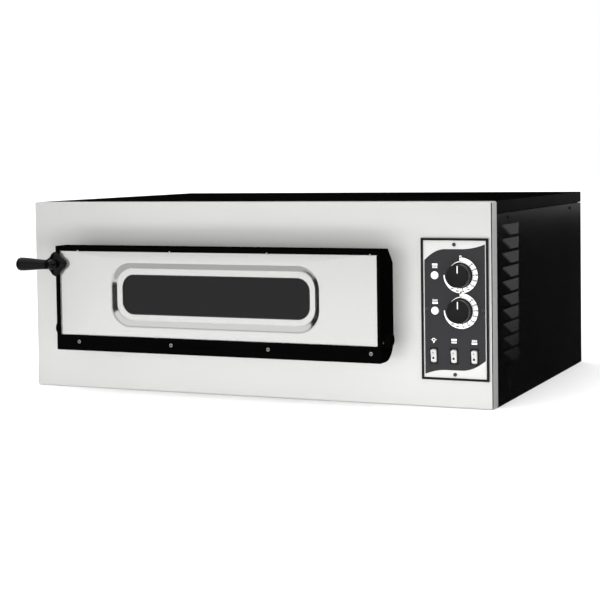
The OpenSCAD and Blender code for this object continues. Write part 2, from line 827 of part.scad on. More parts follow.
module both_sides() {
  children();
  translate([-2 * door_shift, 0, 0]) mirror([1, 0, 0]) children();
}

ear_x = [259, 264];
washer_x = [ear_x[1], 270.9];

module hinge_brackets() {
  color(inner_steel) at_front() both_sides() difference() {
    union() {
      box([247, 267], [plate_y - 3, plate_y], [98, 139]);
      box(ear_x, [hinge_y, plate_y - 1], [hinge_z - 12, hinge_z + 12]);
      rod_x(12, ear_x, hinge_y, hinge_z);
    }
    rod_x(pin_r, [ear_x[0] - 1, ear_x[1] + 1], hinge_y, hinge_z);
  }
}

// Shoulder pin with a round head outside the cheek
module hinge_pins() {
  head = door_x1 + 0.3;
  color(black) at_front() both_sides() {
    rod_x(pin_r, [ear_x[0] - 3, head + eps], hinge_y, hinge_z);
    translate([head, hinge_y, hinge_z]) rotate([0, 90, 0]) rotate_extrude()
      polygon([[0, 0], [boss_r, 0], [boss_r, boss_l - 4], [boss_r - 1.5, boss_l - 1.5],
        [boss_r - 4.5, boss_l], [4, boss_l], [3, boss_l - 2], [0, boss_l - 2]]);
  }
}

module friction_washers() {
  color([0.7, 0.55, 0.3]) at_front() both_sides() difference() {
    rod_x(10, washer_x, hinge_y, hinge_z);
    rod_x(pin_r, [washer_x[0] - 1, washer_x[1] + 1], hinge_y, hinge_z);
  }
}

// Flanged bushes pressed into the cheeks
module hinge_bushes() {
  color([0.75, 0.6, 0.3]) at_front() both_sides() difference() {
    union() {
      rod_x(bush_r, [washer_x[1] + 0.1, door_x1], hinge_y, hinge_z);
      rod_x(11, [washer_x[1] + 0.1, door_x1 - cheek_t], hinge_y, hinge_z);
    }
    rod_x(pin_r + run, [washer_x[1] - 1, door_x1 + 1], hinge_y, hinge_z);
  }
}

// Door

// Centred window outline moved to its place
module at_window() {
  translate(window) children();
}

// Sheet with a pressed, sloping recess round the window
module door_skin() {
  w1 = recess_w - 2 * recess_slope;
  h1 = recess_h - 2 * recess_slope;
  r0 = pane_r + 18;
  r1 = pane_r + 9;
  color(steel) at_front() difference() {
    union() {
      box([door_x0 + cheek_t + gap, door_x1 - cheek_t - gap], [skin_front, skin_back],
        [strip_top - 4, door_top - rim_h + 4]);
      at_window() hull() {
        slab(recess_w + 2, recess_h + 2, r0 + 1, [skin_back - 0.1, skin_back]);
        slab(w1 + 2, h1 + 2, r1 + 1, [floor_back - 0.1, floor_back]);
      }
    }
    at_window() hull() {
      slab(recess_w, recess_h, r0, [skin_front - 0.2, skin_front]);
      slab(w1, h1, r1, [floor_back - sheet - 0.1, floor_back - sheet]);
    }
    at_window() slab(pane_w, pane_h, pane_r, [skin_front, floor_back + 1]);
  }
}

// Sheet box that holds the insulation; its back meets the mouth gasket
module door_inner_pan() {
  x = [-door_shift - pan_half, -door_shift + pan_half];
  color(inner_steel) at_front() difference() {
    box(x, [skin_back, pan_back], [pan_z0, pan_z1]);
    box([x[0] + sheet, x[1] - sheet], [skin_back - 1, pan_back - sheet],
      [pan_z0 + sheet, pan_z1 - sheet]);
    at_window() slab(pane_w, pane_h, pane_r, [pan_back - 3, pan_back + 1]);
  }
}

module door_insulation() {
  x = [-door_shift - pan_half + 2, -door_shift + pan_half - 2];
  color(wool) at_front() difference() {
    box(x, [skin_back + 0.5, pan_back - sheet - 0.3], [pan_z0 + 2, pan_z1 - 2]);
    at_window() slab(recess_w + 8, recess_h + 8, 12, [skin_back - 1, pan_back + 1]);
  }
}

// Folded sheet: a lip in front, a flat top, and a slope down towards the facade
module door_top_rim() {
  fold_y = rim_front + rim_depth;
  slope_y = fold_y + door_top - rim_slope_z;
  color(black) at_front() translate([door_x0 + cheek_t, 0, 0]) rotate([90, 0, 90])
    linear_extrude(door_w - 2 * cheek_t)
      polygon([[rim_front, door_top], [rim_front, door_top - rim_h], [skin_front, door_top - rim_h],
        [skin_front, door_top - cheek_t], [fold_y - 0.8, door_top - cheek_t],
        [slope_y - 2.8, rim_slope_z], [slope_y, rim_slope_z], [fold_y, door_top]]);
}

module door_bottom_strip() {
  x = [door_x0 + cheek_t, door_x1 - cheek_t];
  color(black) at_front() difference() {
    union() {
      box(x, [rim_front, rim_front + cheek_t], [door_bottom, strip_top]);
      box(x, [rim_front, skin_front], [strip_top - cheek_t, strip_top]);
      box(x, [rim_front, hinge_y - 1], [door_bottom, door_bottom + cheek_t]);
    }
    for (sx = strip_screw_x)
      rod_y(2, sx, [rim_front - 1, rim_front + 4], strip_screw_z);
    both_sides() box([ear_x[0] - 2, door_x1], [hinge_y - 15, hinge_y],
      [door_bottom - 1, door_bottom + cheek_t + 1]);
  }
}

// Side plate of the door with a chamfered top and a heel round the hinge
module cheek_profile() {
  back_z = door_top - 26;
  polygon([[rim_front, door_bottom], [hinge_y, door_bottom], [hinge_y, hinge_z],
    [cheek_back, hinge_z], [cheek_back, back_z], [rim_front + rim_depth, door_top],
    [rim_front, door_top]]);
  intersection() {
    translate([hinge_y, hinge_z]) circle(hinge_r);
    translate([hinge_y - 1, door_bottom]) square([hinge_r + 2, hinge_r + 1]);
  }
}

module cheek() {
  x = [door_x1 - cheek_t, door_x1];
  color(black) at_front() difference() {
    union() {
      translate([x[0], 0, 0]) rotate([90, 0, 90]) linear_extrude(cheek_t) cheek_profile();
      box([door_x1 - cheek_rim, x[1]], [rim_front, skin_front],
        [strip_top + gap, door_top - rim_h - gap]);
    }
    rod_x(bush_r, [x[0] - 1, x[1] + 1], hinge_y, hinge_z);
    for (p = cheek_pin_yz)
      rod_x(1.8, [x[0] - 1, x[1] + 1], p[0], p[1]);
  }
}

module right_cheek() {
  cheek();
}

module left_cheek() {
  translate([-2 * door_shift, 0, 0]) mirror([1, 0, 0]) cheek();
}

module outer_glass() {
  color([0.12, 0.12, 0.13, 0.8]) at_front() at_window()
    slab(pane_w + seal_w, pane_h + seal_w, pane_r, [floor_back + seal_t, floor_back + seal_t + glass_t]);
}

module inner_glass() {
  y = pan_back - sheet;
  color([0.12, 0.12, 0.13, 0.8]) at_front() at_window()
    slab(pane_w + 2 * seal_w, pane_h + 2 * seal_w, pane_r, [y - glass_t, y]);
}

module window_seal() {
  color([0.1, 0.1, 0.1]) at_front() at_window() difference() {
    slab(pane_w + seal_w, pane_h + seal_w, pane_r + 3, [floor_back, floor_back + seal_t]);
    slab(pane_w - 3, pane_h - 3, pane_r - 1.5, [floor_back - 1, floor_back + seal_t + 1]);
  }
}

strip_screw_x = [for (i = [0 : 3]) -322 + 194.3 * i];
strip_screw_z = 96.5;
cheek_pin_yz = [[-57, 106], [-20, 104]];

module door_screws() {
  color([0.5, 0.5, 0.5]) at_front() {
    for (x = strip_screw_x) {
      screw_front(x, rim_front, strip_screw_z, 4.4, 2, 2, 5);
      rod_y(1.8, x, [skin_front - 2.2, skin_front], door_top - rim_h - 2.4);
    }
    both_sides() for (p = cheek_pin_yz) {
      rod_x(1.8, [door_x1 - cheek_t - 3, door_x1 + eps], p[0], p[1]);
      rod_x(2.6, [door_x1, door_x1 + 1.2], p[0], p[1]);
    }
  }
}

// Diamond hub on the rim's corner; its post carries a ball collar for the grip
module handle_hub() {
  side = hub_w * 0.72;
  color(black) at_front() {
    translate([hub_x, rim_front, hub_z]) rotate([90, 0, 0]) intersection() {
      linear_extrude(hub_t) rotate(45) rounded(side, side, 3);
      cylinder(r1 = hub_w / 2 + 4, r2 = hub_w / 2 - 9, h = hub_t);
    }
    rod_y(8, hub_x, [arm_y, rim_front - hub_t + 1], hub_z);
    translate([grip_x, arm_y, hub_z]) rotate([0, 90, 0]) ball_on_neck(ball_r, neck_r, ball_r);
  }
}

module handle_grip() {
  l = grip_l;
  r0 = grip_d0 / 2;
  r1 = grip_d1 / 2;
  color(black) at_front() translate([grip_x, arm_y, hub_z]) rotate([0, -90, 0])
    rotate_extrude() polygon([[0, 0], [r0 - 1, 0], [r0, 1], [r0 + 0.6, 20], [r1 - 0.8, l - 20],
      [r1, l - 9], [r1 - 1, l - 4], [r1 - 4, l - 1], [r1 - 7, l], [0, l]]);
}

base_panel();
left_side_panel();
right_side_panel();
rear_panel();
top_cover();
front_facade();
control_bulkhead();
chamber_shell();
mouth_frame();
mouth_gasket();
left_stone();
right_stone();
stone_rails();
top_elements();
bottom_elements();
element_clips();
top_insulation();
bottom_insulation();
side_insulation();
lamp_holder();
lamp_bulb();
lamp_glass();
upper_thermostat();
lower_thermostat();
sensing_bulbs();
control_frame();
control_plate();
control_screws();
upper_pilot_lamp();
lower_pilot_lamp();
switch_housings();
terminal_block();
wiring();
cable_gland();
earth_stud();
case_screws();
hinge_brackets();
hinge_pins();
friction_washers();
door_skin();
door_inner_pan();
door_insulation();
door_top_rim();
door_bottom_strip();
left_cheek();
right_cheek();
outer_glass();
inner_glass();
window_seal();
door_screws();
hinge_bushes();
handle_hub();
handle_grip();
upper_knob();
upper_shaft();
lower_knob();
lower_shaft();
lamp_rocker();
top_heat_rocker();
bottom_heat_rocker();
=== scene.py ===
import json
import math
import bpy
import bmesh
from mathutils import Matrix, Vector


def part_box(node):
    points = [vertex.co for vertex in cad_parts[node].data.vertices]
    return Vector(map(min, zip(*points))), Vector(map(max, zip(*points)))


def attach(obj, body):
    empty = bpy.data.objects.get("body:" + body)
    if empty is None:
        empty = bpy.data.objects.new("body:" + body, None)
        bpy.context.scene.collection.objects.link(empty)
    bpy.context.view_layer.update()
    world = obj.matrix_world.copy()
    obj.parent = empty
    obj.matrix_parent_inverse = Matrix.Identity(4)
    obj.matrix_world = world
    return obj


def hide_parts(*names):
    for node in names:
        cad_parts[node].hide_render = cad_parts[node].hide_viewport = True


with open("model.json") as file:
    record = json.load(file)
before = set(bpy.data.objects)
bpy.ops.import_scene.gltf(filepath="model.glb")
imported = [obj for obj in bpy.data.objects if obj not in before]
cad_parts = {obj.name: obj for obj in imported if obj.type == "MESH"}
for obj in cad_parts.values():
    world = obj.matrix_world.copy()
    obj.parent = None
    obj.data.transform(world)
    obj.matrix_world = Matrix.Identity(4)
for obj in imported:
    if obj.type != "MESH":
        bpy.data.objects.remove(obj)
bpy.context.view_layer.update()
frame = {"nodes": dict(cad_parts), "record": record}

MM = 0.001


# ---------------------------------------------------------------- places read from the frame

def middle(node):
    lo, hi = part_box(node)
    return (lo + hi) / 2


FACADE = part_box("front_facade")
FACE_Y = FACADE[0].y
HALF_W = FACADE[1].x
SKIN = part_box("door_skin")
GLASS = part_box("outer_glass")
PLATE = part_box("control_plate")
LEFT_CHEEK, RIGHT_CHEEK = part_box("left_cheek"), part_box("right_cheek")
DOOR = (Vector((LEFT_CHEEK[0].x, RIGHT_CHEEK[0].y, RIGHT_CHEEK[0].z)), Vector(RIGHT_CHEEK[1]))


# ---------------------------------------------------------------- node materials

def new_material(name):
    mat = bpy.data.materials.new(name)
    mat.use_nodes = True
    nodes = mat.node_tree.nodes
    return mat, nodes, mat.node_tree.links, nodes["Principled BSDF"]


def stretched_noise(nodes, links, scale, stretch, detail=4.0):
    """Noise in the object's own metres, stretched by a factor along each axis."""
    coord = nodes.new("ShaderNodeTexCoord")
    mapping = nodes.new("ShaderNodeMapping")
    mapping.inputs["Scale"].default_value = stretch
    noise = nodes.new("ShaderNodeTexNoise")
    noise.inputs["Scale"].default_value = scale
    noise.inputs["Detail"].default_value = detail
    links.new(coord.outputs["Object"], mapping.inputs["Vector"])
    links.new(mapping.outputs["Vector"], noise.inputs["Vector"])
    return noise.outputs["Fac"]


def remap(nodes, links, value, low, high):
    node = nodes.new("ShaderNodeMapRange")
    node.inputs["To Min"].default_value = low
    node.inputs["To Max"].default_value = high
    links.new(value, node.inputs["Value"])
    return node.outputs["Result"]


def mix_colour(nodes, links, factor, low, high):
    node = nodes.new("ShaderNodeMix")
    node.data_type = "RGBA"
    node.inputs["A"].default_value = (*low, 1)
    node.inputs["B"].default_value = (*high, 1)
    links.new(factor, node.inputs["Factor"])
    return node.outputs["Result"]


def bump(nodes, links, bsdf, height, distance, strength=1.0):
    node = nodes.new("ShaderNodeBump")
    node.inputs["Strength"].default_value = strength
    node.inputs["Distance"].default_value = distance
    links.new(height, node.inputs["Height"])
    links.new(node.outputs["Normal"], bsdf.inputs["Normal"])


def brushed(name, low, high, rough, grain, metallic=1.0, relief=0.35):
    """Sheet metal with fine grain lines, faint cloudiness and wiping marks."""
    mat, nodes, links, bsdf = new_material(name)
    fine = stretched_noise(nodes, links, 1.0, grain, 3.0)
    cloud = stretched_noise(nodes, links, 7.0, (1, 1, 1.6), 2.0)
    both = nodes.new("ShaderNodeMath")
    both.operation = "MULTIPLY_ADD"
    both.inputs[1].default_value = 0.35
    links.new(cloud, both.inputs[0])
    links.new(fine, both.inputs[2])
    links.new(mix_colour(nodes, links, both.outputs[0], low, high), bsdf.inputs["Base Color"])
    links.new(remap(nodes, links, both.outputs[0], rough[0], rough[1]), bsdf.inputs["Roughness"])
    bsdf.inputs["Metallic"].default_value = metallic
    bump(nodes, links, bsdf, fine, 0.00002, relief)
    return mat


def painted(name, low, high, rough, peel, distance, coat=0.0, metallic=0.0, specular=0.5):
    """Powder coat or moulded plastic: fine peel or grain, slight shade and gloss variation."""
    mat, nodes, links, bsdf = new_material(name)
    skin = stretched_noise(nodes, links, peel, (1, 1, 1), 3.0)
    cloud = stretched_noise(nodes, links, 9.0, (1, 1, 1), 3.0)
    links.new(mix_colour(nodes, links, cloud, low, high), bsdf.inputs["Base Color"])
    links.new(remap(nodes, links, cloud, rough[0], rough[1]), bsdf.inputs["Roughness"])
    bsdf.inputs["Specular IOR Level"].default_value = specular
    bsdf.inputs["Coat Weight"].default_value = coat
    bsdf.inputs["Coat Roughness"].default_value = 0.08
    bsdf.inputs["Metallic"].default_value = metallic
    bump(nodes, links, bsdf, skin, distance, 0.5)
    return mat


def tinted_glass(name, tint, rough, see_through, gloss=0.5):
    mat, nodes, links, bsdf = new_material(name)
    smear = stretched_noise(nodes, links, 14.0, (1, 1, 3), 4.0)
    links.new(remap(nodes, links, smear, rough, rough + 0.05), bsdf.inputs["Roughness"])
    bsdf.inputs["Base Color"].default_value = (*tint, 1)
    bsdf.inputs["Transmission Weight"].default_value = see_through
    bsdf.inputs["IOR"].default_value = 1.5
    bsdf.inputs["Specular IOR Level"].default_value = gloss
    return mat


# how each material is made; colours are linear, bump depths in metres
RECIPES = {
    "stainless": (brushed, dict(low=(0.475, 0.475, 0.47), high=(0.53, 0.53, 0.52),
        rough=(0.34, 0.42), grain=(6, 6, 1400), metallic=0.50, relief=0.12)),
    # darker, more polished copy of the stainless for the facade's right fold: painted shade along that
    # fold, and its polish also reflects the dark boards
    "polished_bend": (brushed, dict(low=(0.42, 0.42, 0.42), high=(0.48, 0.48, 0.48),
        rough=(0.16, 0.20), grain=(6, 6, 1400), metallic=1.0, relief=0.05)),
    "pressed_stainless": (brushed, dict(low=(0.595, 0.595, 0.59), high=(0.645, 0.645, 0.635),
        rough=(0.17, 0.24), grain=(6, 6, 1400), metallic=0.85, relief=0.0)),
    "pressed_bend": (brushed, dict(low=(0.60, 0.60, 0.595), high=(0.65, 0.65, 0.64),
        rough=(0.13, 0.18), grain=(6, 6, 1400), metallic=1.0, relief=0.0)),
    "black_paint": (painted, dict(low=(0.0012, 0.0012, 0.0013), high=(0.0022, 0.0022, 0.0023),
        rough=(0.20, 0.26), peel=2600.0, distance=0.00004, specular=0.13)),
    "matt_black": (painted, dict(low=(0.0007, 0.0007, 0.0007), high=(0.0012, 0.0012, 0.0012),
        rough=(0.30, 0.40), peel=2600.0, distance=0.00004, specular=0.0)),
    "lid_paint": (painted, dict(low=(0.0007, 0.0007, 0.0007), high=(0.0012, 0.0012, 0.0012),
        rough=(0.30, 0.40), peel=2600.0, distance=0.00004, specular=0.012)),
    "inner_steel": (brushed, dict(low=(0.30, 0.29, 0.28), high=(0.50, 0.49, 0.47),
        rough=(0.35, 0.55), grain=(60, 60, 60))),
    "gasket_rope": (painted, dict(low=(0.09, 0.085, 0.08), high=(0.20, 0.19, 0.17),
        rough=(0.8, 0.95), peel=900.0, distance=0.0003)),
    "stone": (painted, dict(low=(0.52, 0.44, 0.33), high=(0.70, 0.62, 0.50), rough=(0.85, 0.95),
        peel=700.0, distance=0.0003)),
    "element_sheath": (brushed, dict(low=(0.06, 0.055, 0.05), high=(0.16, 0.14, 0.12),
        rough=(0.4, 0.6), grain=(90, 90, 90))),
    "mineral_wool": (painted, dict(low=(0.55, 0.48, 0.30), high=(0.74, 0.68, 0.48),
        rough=(0.9, 1.0), peel=260.0, distance=0.002)),
    "clear_glass": (tinted_glass, dict(tint=(0.95, 0.96, 0.95), rough=0.03, see_through=0.95)),
    "smoked_glass": (tinted_glass, dict(tint=(0.006, 0.006, 0.0062), rough=0.10, see_through=0.10,
        gloss=0.12)),
    "thermostat_case": (painted, dict(low=(0.36, 0.29, 0.20), high=(0.46, 0.38, 0.27),
        rough=(0.4, 0.6), peel=900.0, distance=0.0001)),
    "copper": (brushed, dict(low=(0.55, 0.26, 0.13), high=(0.72, 0.40, 0.24), rough=(0.25, 0.4),
        grain=(80, 80, 80))),
    "black_plastic": (painted, dict(low=(0.004, 0.004, 0.0045), high=(0.007, 0.007, 0.0075),
        rough=(0.30, 0.42), peel=1500.0, distance=0.00003, specular=0.12)),
    "printed_plate": (painted, dict(low=(0.38, 0.38, 0.375), high=(0.42, 0.42, 0.41),
        rough=(0.35, 0.45), peel=1800.0, distance=0.00001)),
    "dark_print": (painted, dict(low=(0.014, 0.014, 0.0160), high=(0.018, 0.018, 0.0200),
        rough=(0.40, 0.52), peel=1800.0, distance=0.00001, specular=0.2)),
    "white_print": (painted, dict(low=(0.78, 0.78, 0.77), high=(0.84, 0.84, 0.83), rough=(0.4, 0.5),
        peel=1800.0, distance=0.00001)),
    # black ink for the prints, also used as painted shade in the screw sockets and on the rockers
    "black_print": (painted, dict(low=(0.004, 0.004, 0.004), high=(0.007, 0.007, 0.007),
        rough=(0.4, 0.5), peel=1800.0, distance=0.00001, specular=0.1)),
    "dark_screw": (painted, dict(low=(0.03, 0.03, 0.03), high=(0.06, 0.06, 0.06), rough=(0.25, 0.4),
        peel=900.0, distance=0.00002, metallic=0.7)),
    "lamp_lens": (painted, dict(low=(0.84, 0.84, 0.83), high=(0.90, 0.90, 0.88), rough=(0.12, 0.2),
        peel=400.0, distance=0.00002, coat=0.5)),
    "wire": (painted, dict(low=(0.32, 0.03, 0.02), high=(0.42, 0.05, 0.03), rough=(0.4, 0.5),
        peel=900.0, distance=0.00002)),
    "brass": (brushed, dict(low=(0.55, 0.38, 0.14), high=(0.70, 0.52, 0.24), rough=(0.25, 0.4),
        grain=(90, 90, 90))),
    "seal_rubber": (painted, dict(low=(0.006, 0.006, 0.006), high=(0.010, 0.010, 0.010),
        rough=(0.5, 0.6), peel=900.0, distance=0.00005)),
    "zinc_screw": (brushed, dict(low=(0.42, 0.42, 0.42), high=(0.60, 0.60, 0.60), rough=(0.25, 0.4),
        grain=(300, 300, 300))),
    "handle_plastic": (painted, dict(low=(0.0008, 0.0008, 0.0008), high=(0.0014, 0.0014, 0.0014),
        rough=(0.12, 0.16), peel=500.0, distance=0.00002, specular=0.18)),
    "grey_plastic": (painted, dict(low=(0.36, 0.36, 0.355), high=(0.42, 0.42, 0.41),
        rough=(0.30, 0.40), peel=1500.0, distance=0.00002)),
}
MATERIAL = {name: make(name, **look) for name, (make, look) in RECIPES.items()}
SLOT = {row["node"]: row["material_slot"] for row in frame["record"]["subparts"]}
# the prints belong to the plate's own material slot
PRINT_SLOT = dict.fromkeys(("dark_print", "white_print", "black_print"), "printed_plate")
FINISH = dict(SLOT, **{node: "matt_black" for node in (
    "door_bottom_strip", "door_top_rim", "left_cheek", "right_cheek", "hinge_pins")}, top_cover="lid_paint")


# ---------------------------------------------------------------- mesh helpers

def finish_mesh(name, bm, body, finish, replaces=(), angle=35):
    """Turns a bmesh into a riding piece with its material and smooth shading by angle."""
    bmesh.ops.remove_doubles(bm, verts=bm.verts, dist=1e-6)
    bmesh.ops.recalc_face_normals(bm, faces=bm.faces)
    mesh = bpy.data.meshes.new(name)
    bm.to_mesh(mesh)
    bm.free()
    mesh.shade_smooth()
    mesh.set_sharp_from_angle(angle=math.radians(angle))
    piece = bpy.data.objects.new(name, mesh)
    bpy.context.scene.collection.objects.link(piece)
    mesh.materials.append(MATERIAL[finish])
    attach(piece, body)
    if replaces:
        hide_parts(*replaces)
    return piece


def thicken(piece, thickness, offset):
    mod = piece.modifiers.new("thickness", "SOLIDIFY")
    mod.thickness = thickness
    mod.offset = offset
    mod.use_even_offset = True


def smooth_flats(piece):
    piece.modifiers.new("normals", "WEIGHTED_NORMAL").keep_sharp = True


def round_edges(piece, width):
    mod = piece.modifiers.new("rounding", "BEVEL")
    mod.width = width
    mod.segments = 2
    mod.limit_method = "ANGLE"
    mod.angle_limit = math.radians(30)
    mod.harden_normals = False
    smooth_flats(piece)


def loop_xz(cx, cz, w, h, r, seg=8):
    """Rounded rectangle as (x, z) points, counter-clockwise from the lower right corner."""
    points = []
    for k, (sx, sz) in enumerate(((1, -1), (1, 1), (-1, 1), (-1, -1))):
        start = -90 + 90 * k
        for i in range(seg + 1):
            a = math.radians(start + 90 * i / seg)
            points.append((cx + sx * (w / 2 - r) + r * math.cos(a),
                           cz + sz * (h / 2 - r) + r * math.sin(a)))
    return points


def circle_xz(cx, cz, r, seg=32):
    return [(cx + r * math.cos(2 * math.pi * i / seg), cz + r * math.sin(2 * math.pi * i / seg))
            for i in range(seg)]


def ring_of(bm, points, y):
    return [bm.verts.new((x, y, z)) for x, z in points]


def strip(bm, a, b):
    """Faces between two closed rings of equal length."""
    n = len(a)
    for i in range(n):
        j = (i + 1) % n
        bm.faces.new((a[i], a[j], b[j], b[i]))


def fill_between(bm, rings):
    """Flat faces inside the first ring and outside the others."""
    edges = []
    for ring in rings:
        for i, v in enumerate(ring):
            w = ring[(i + 1) % len(ring)]
            edges.append(bm.edges.get((v, w)) or bm.edges.new((v, w)))
    bmesh.ops.triangle_fill(bm, use_beauty=True, use_dissolve=False, edges=edges)


def plate_xz(bm, outer, holes, y0, y1):
    """Closed plate between y0 and y1 with an outline and holes in the XZ plane."""
    front = [ring_of(bm, p, y0) for p in (outer, *holes)]
    back = [ring_of(bm, p, y1) for p in (outer, *holes)]
    fill_between(bm, front)
    fill_between(bm, back)
    for a, b in zip(front, back):
        strip(bm, a, b)


def box_into(bm, lo, hi):
    made = bmesh.ops.create_cube(bm, size=1.0)
    size = [hi[i] - lo[i] for i in range(3)]
    centre = Vector([(hi[i] + lo[i]) / 2 for i in range(3)])
    bmesh.ops.scale(bm, vec=size, verts=made["verts"])
    bmesh.ops.translate(bm, vec=centre, verts=made["verts"])


def turned(bm, profile, origin, axis, seg=48):
    """Body of revolution: profile points are (radius, distance along the axis from origin)."""
    axis = Vector(axis).normalized()
    turn = axis.to_track_quat("Z", "Y").to_matrix()
    origin = Vector(origin)
    rings = []
    for r, d in profile:
        if r < 1e-7:
            rings.append([bm.verts.new(origin + axis * d)])
        else:
            rings.append([bm.verts.new(origin + axis * d + turn @ Vector(
                (r * math.cos(2 * math.pi * i / seg), r * math.sin(2 * math.pi * i / seg), 0)))
                for i in range(seg)])
    for a, b in zip(rings, rings[1:]):
        if len(a) == len(b):
            strip(bm, a, b)
        elif len(a) == 1:
            for i in range(seg):
                bm.faces.new((a[0], b[i], b[(i + 1) % seg]))
        else:
            for i in range(seg):
                bm.faces.new((b[0], a[i], a[(i + 1) % seg]))


def arc(cx, cy, r, start, end, count):
    """Points on an arc, in a profile's own plane, angles in degrees."""
    out = []
    for i in range(count + 1):
        a = math.radians(start + (end - start) * i / count)
        out.append((cx + r * math.cos(a), cy + r * math.sin(a)))
    return out


# ---------------------------------------------------------------- camera, floor and light

CAMERA_AT = Vector((1.1851, FACE_Y - 2.4506, 0.4326))
CAMERA_YAW, CAMERA_PITCH, CAMERA_ROLL = (math.radians(a) for a in (23.83, -2.66, -0.81))
LENS_MM = 90.11
SHIFT_Y = -0.12


def make_camera():
    yaw, pitch = CAMERA_YAW, CAMERA_PITCH
    forward = Vector((-math.sin(yaw) * math.cos(pitch), math.cos(yaw) * math.cos(pitch), math.sin(pitch)))
    right = Vector((math.cos(yaw), math.sin(yaw), 0))
    up = right.cross(forward)
    right_r = right * math.cos(CAMERA_ROLL) + up * math.sin(CAMERA_ROLL)
    up_r = up * math.cos(CAMERA_ROLL) - right * math.sin(CAMERA_ROLL)
    data = bpy.data.cameras.new("camera")
    data.lens = LENS_MM
    data.sensor_width = 36.0
    data.shift_y = SHIFT_Y
    data.clip_end = 30
    camera = bpy.data.objects.new("camera", data)
    bpy.context.scene.collection.objects.link(camera)
    camera.matrix_world = Matrix((
        (right_r.x, up_r.x, -forward.x, CAMERA_AT.x),
        (right_r.y, up_r.y, -forward.y, CAMERA_AT.y),
        (right_r.z, up_r.z, -forward.z, CAMERA_AT.z),
        (0, 0, 0, 1)))
    bpy.context.scene.camera = camera


FLOOR_DROP = 0.3 * MM              # keeps the floor clear of the underside


def make_floor():
    bm = bmesh.new()
    bmesh.ops.create_grid(bm, x_segments=2, y_segments=2, size=40)
    mesh = bpy.data.meshes.new("floor")
    bm.to_mesh(mesh)
    bm.free()
    floor = bpy.data.objects.new("floor", mesh)
    bpy.context.scene.collection.objects.link(floor)
    floor.location.z = -FLOOR_DROP
    mesh.materials.append(painted("floor_paint", (0.90, 0.90, 0.90), (0.94, 0.94, 0.94), (0.8, 0.9),
                                  60.0, 0.0002))
    floor.visible_glossy = False


SUN_STRENGTH, SUN_ANGLE = 1.8, 100
# name, place, aimed at, size, watts, seen in reflections
SOFTBOXES = (
    ("right_softbox", (2.0, FACE_Y - 1.6, 0.45), (0.1, FACE_Y, 0.05), (1.0, 0.9), 6, True),
    ("low_softbox", (0.0, FACE_Y - 0.45, 0.06), (0.0, FACE_Y, 0.05), (1.4, 0.1), 3.6, False),
    ("front_softbox", (-0.4, FACE_Y - 2.0, 0.35), (0.0, FACE_Y, 0.15), (1.6, 0.6), 8, False),
)
# boards that only reflections see: name, place, aimed at, size, brightness
BOARDS = (
    ("front_right_flag", (1.25, FACE_Y - 1.3, 0.3), (-0.1, FACE_Y, 0.2), (1.5, 1.2), 0.02),
    ("right_flag", (1.9, FACE_Y - 0.25, 0.2), (0.46, FACE_Y, 0.2), (1.2, 1.6), 0.02),
    ("lid_flag", (-0.85, 1.5, 0.5), (-0.85, 0, 0.5), (2.6, 3.0), 0.0),
    ("side_flag", (1.45, 1.5, -0.68), (1.45, 0, -0.68), (1.9, 1.9), 0.01),
    ("side_card", (1.45, 1.55, 0.7), (1.45, 0, 0.7), (1.9, 1.1), 0.36),
    ("camera_flag", (1.25, FACE_Y - 2.7, 0.5), (0.2, FACE_Y, 0.2), (1.3, 1.3), 0.05),
    ("left_flag", (-1.5, FACE_Y - 0.35, 0.2), (0.1, FACE_Y, 0.2), (1.8, 1.5), 0.02),
    ("low_card", (-0.4, FACE_Y - 0.4, -0.5), (-0.4, FACE_Y - 0.4, 0.2), (2.6, 1.8), 0.62),
    ("front_card", (-1.0, FACE_Y - 2.4, 0.95), (-0.2, FACE_Y, 0.3), (3.4, 1.5), 0.65),
)


def area_light(name, at, aim, size, power, glossy):
    data = bpy.data.lights.new(name, "AREA")
    data.shape = "RECTANGLE"
    data.size, data.size_y = size
    data.energy = power
    lamp = bpy.data.objects.new(name, data)
    bpy.context.scene.collection.objects.link(lamp)
    lamp.location = at
    lamp.rotation_euler = (Vector(aim) - Vector(at)).to_track_quat("-Z", "Y").to_euler()
    lamp.visible_camera = False
    lamp.visible_glossy = glossy


def flag(name, at, aim, size, shade):
    """Board out of the camera's sight that the metal and the paint reflect."""
    bm = bmesh.new()
    bmesh.ops.create_grid(bm, x_segments=1, y_segments=1, size=0.5)
    bmesh.ops.scale(bm, vec=(size[0], size[1], 1), verts=bm.verts)
    mesh = bpy.data.meshes.new(name)
    bm.to_mesh(mesh)
    bm.free()
    board = bpy.data.objects.new(name, mesh)
    bpy.context.scene.collection.objects.link(board)
    board.location = at
    board.rotation_euler = (Vector(aim) - Vector(at)).to_track_quat("Z", "Y").to_euler()
    mat, nodes, links, bsdf = new_material(name + "_cloth")
    cloth = stretched_noise(nodes, links, 3.0, (1, 1, 1))
    links.new(remap(nodes, links, cloth, shade * 0.9, shade * 1.1), bsdf.inputs["Emission Strength"])
    bsdf.inputs["Emission Color"].default_value = (1, 1, 1, 1)
    bsdf.inputs["Base Color"].default_value = (0, 0, 0, 1)
    bsdf.inputs["Specular IOR Level"].default_value = 0
    mesh.materials.append(mat)
    board.visible_camera = False
    board.visible_diffuse = False
    board.visible_shadow = False


def make_light():
    world = bpy.data.worlds.new("studio")
    bpy.context.scene.world = world
    world.use_nodes = True
    world.node_tree.nodes["Background"].inputs["Color"].default_value = (1, 1, 1, 1)
    world.node_tree.nodes["Background"].inputs["Strength"].default_value = 1.0
    sky = bpy.data.lights.new("ceiling", "SUN")
    sky.energy = SUN_STRENGTH
    sky.angle = math.radians(SUN_ANGLE)
    ceiling = bpy.data.objects.new("ceiling", sky)
    bpy.context.scene.collection.objects.link(ceiling)
    ceiling.visible_glossy = False
    for softbox in SOFTBOXES:
        area_light(*softbox)
    for board in BOARDS:
        flag(*board)
    bpy.context.scene.view_settings.view_transform = "Standard"


# ---------------------------------------------------------------- cabinet

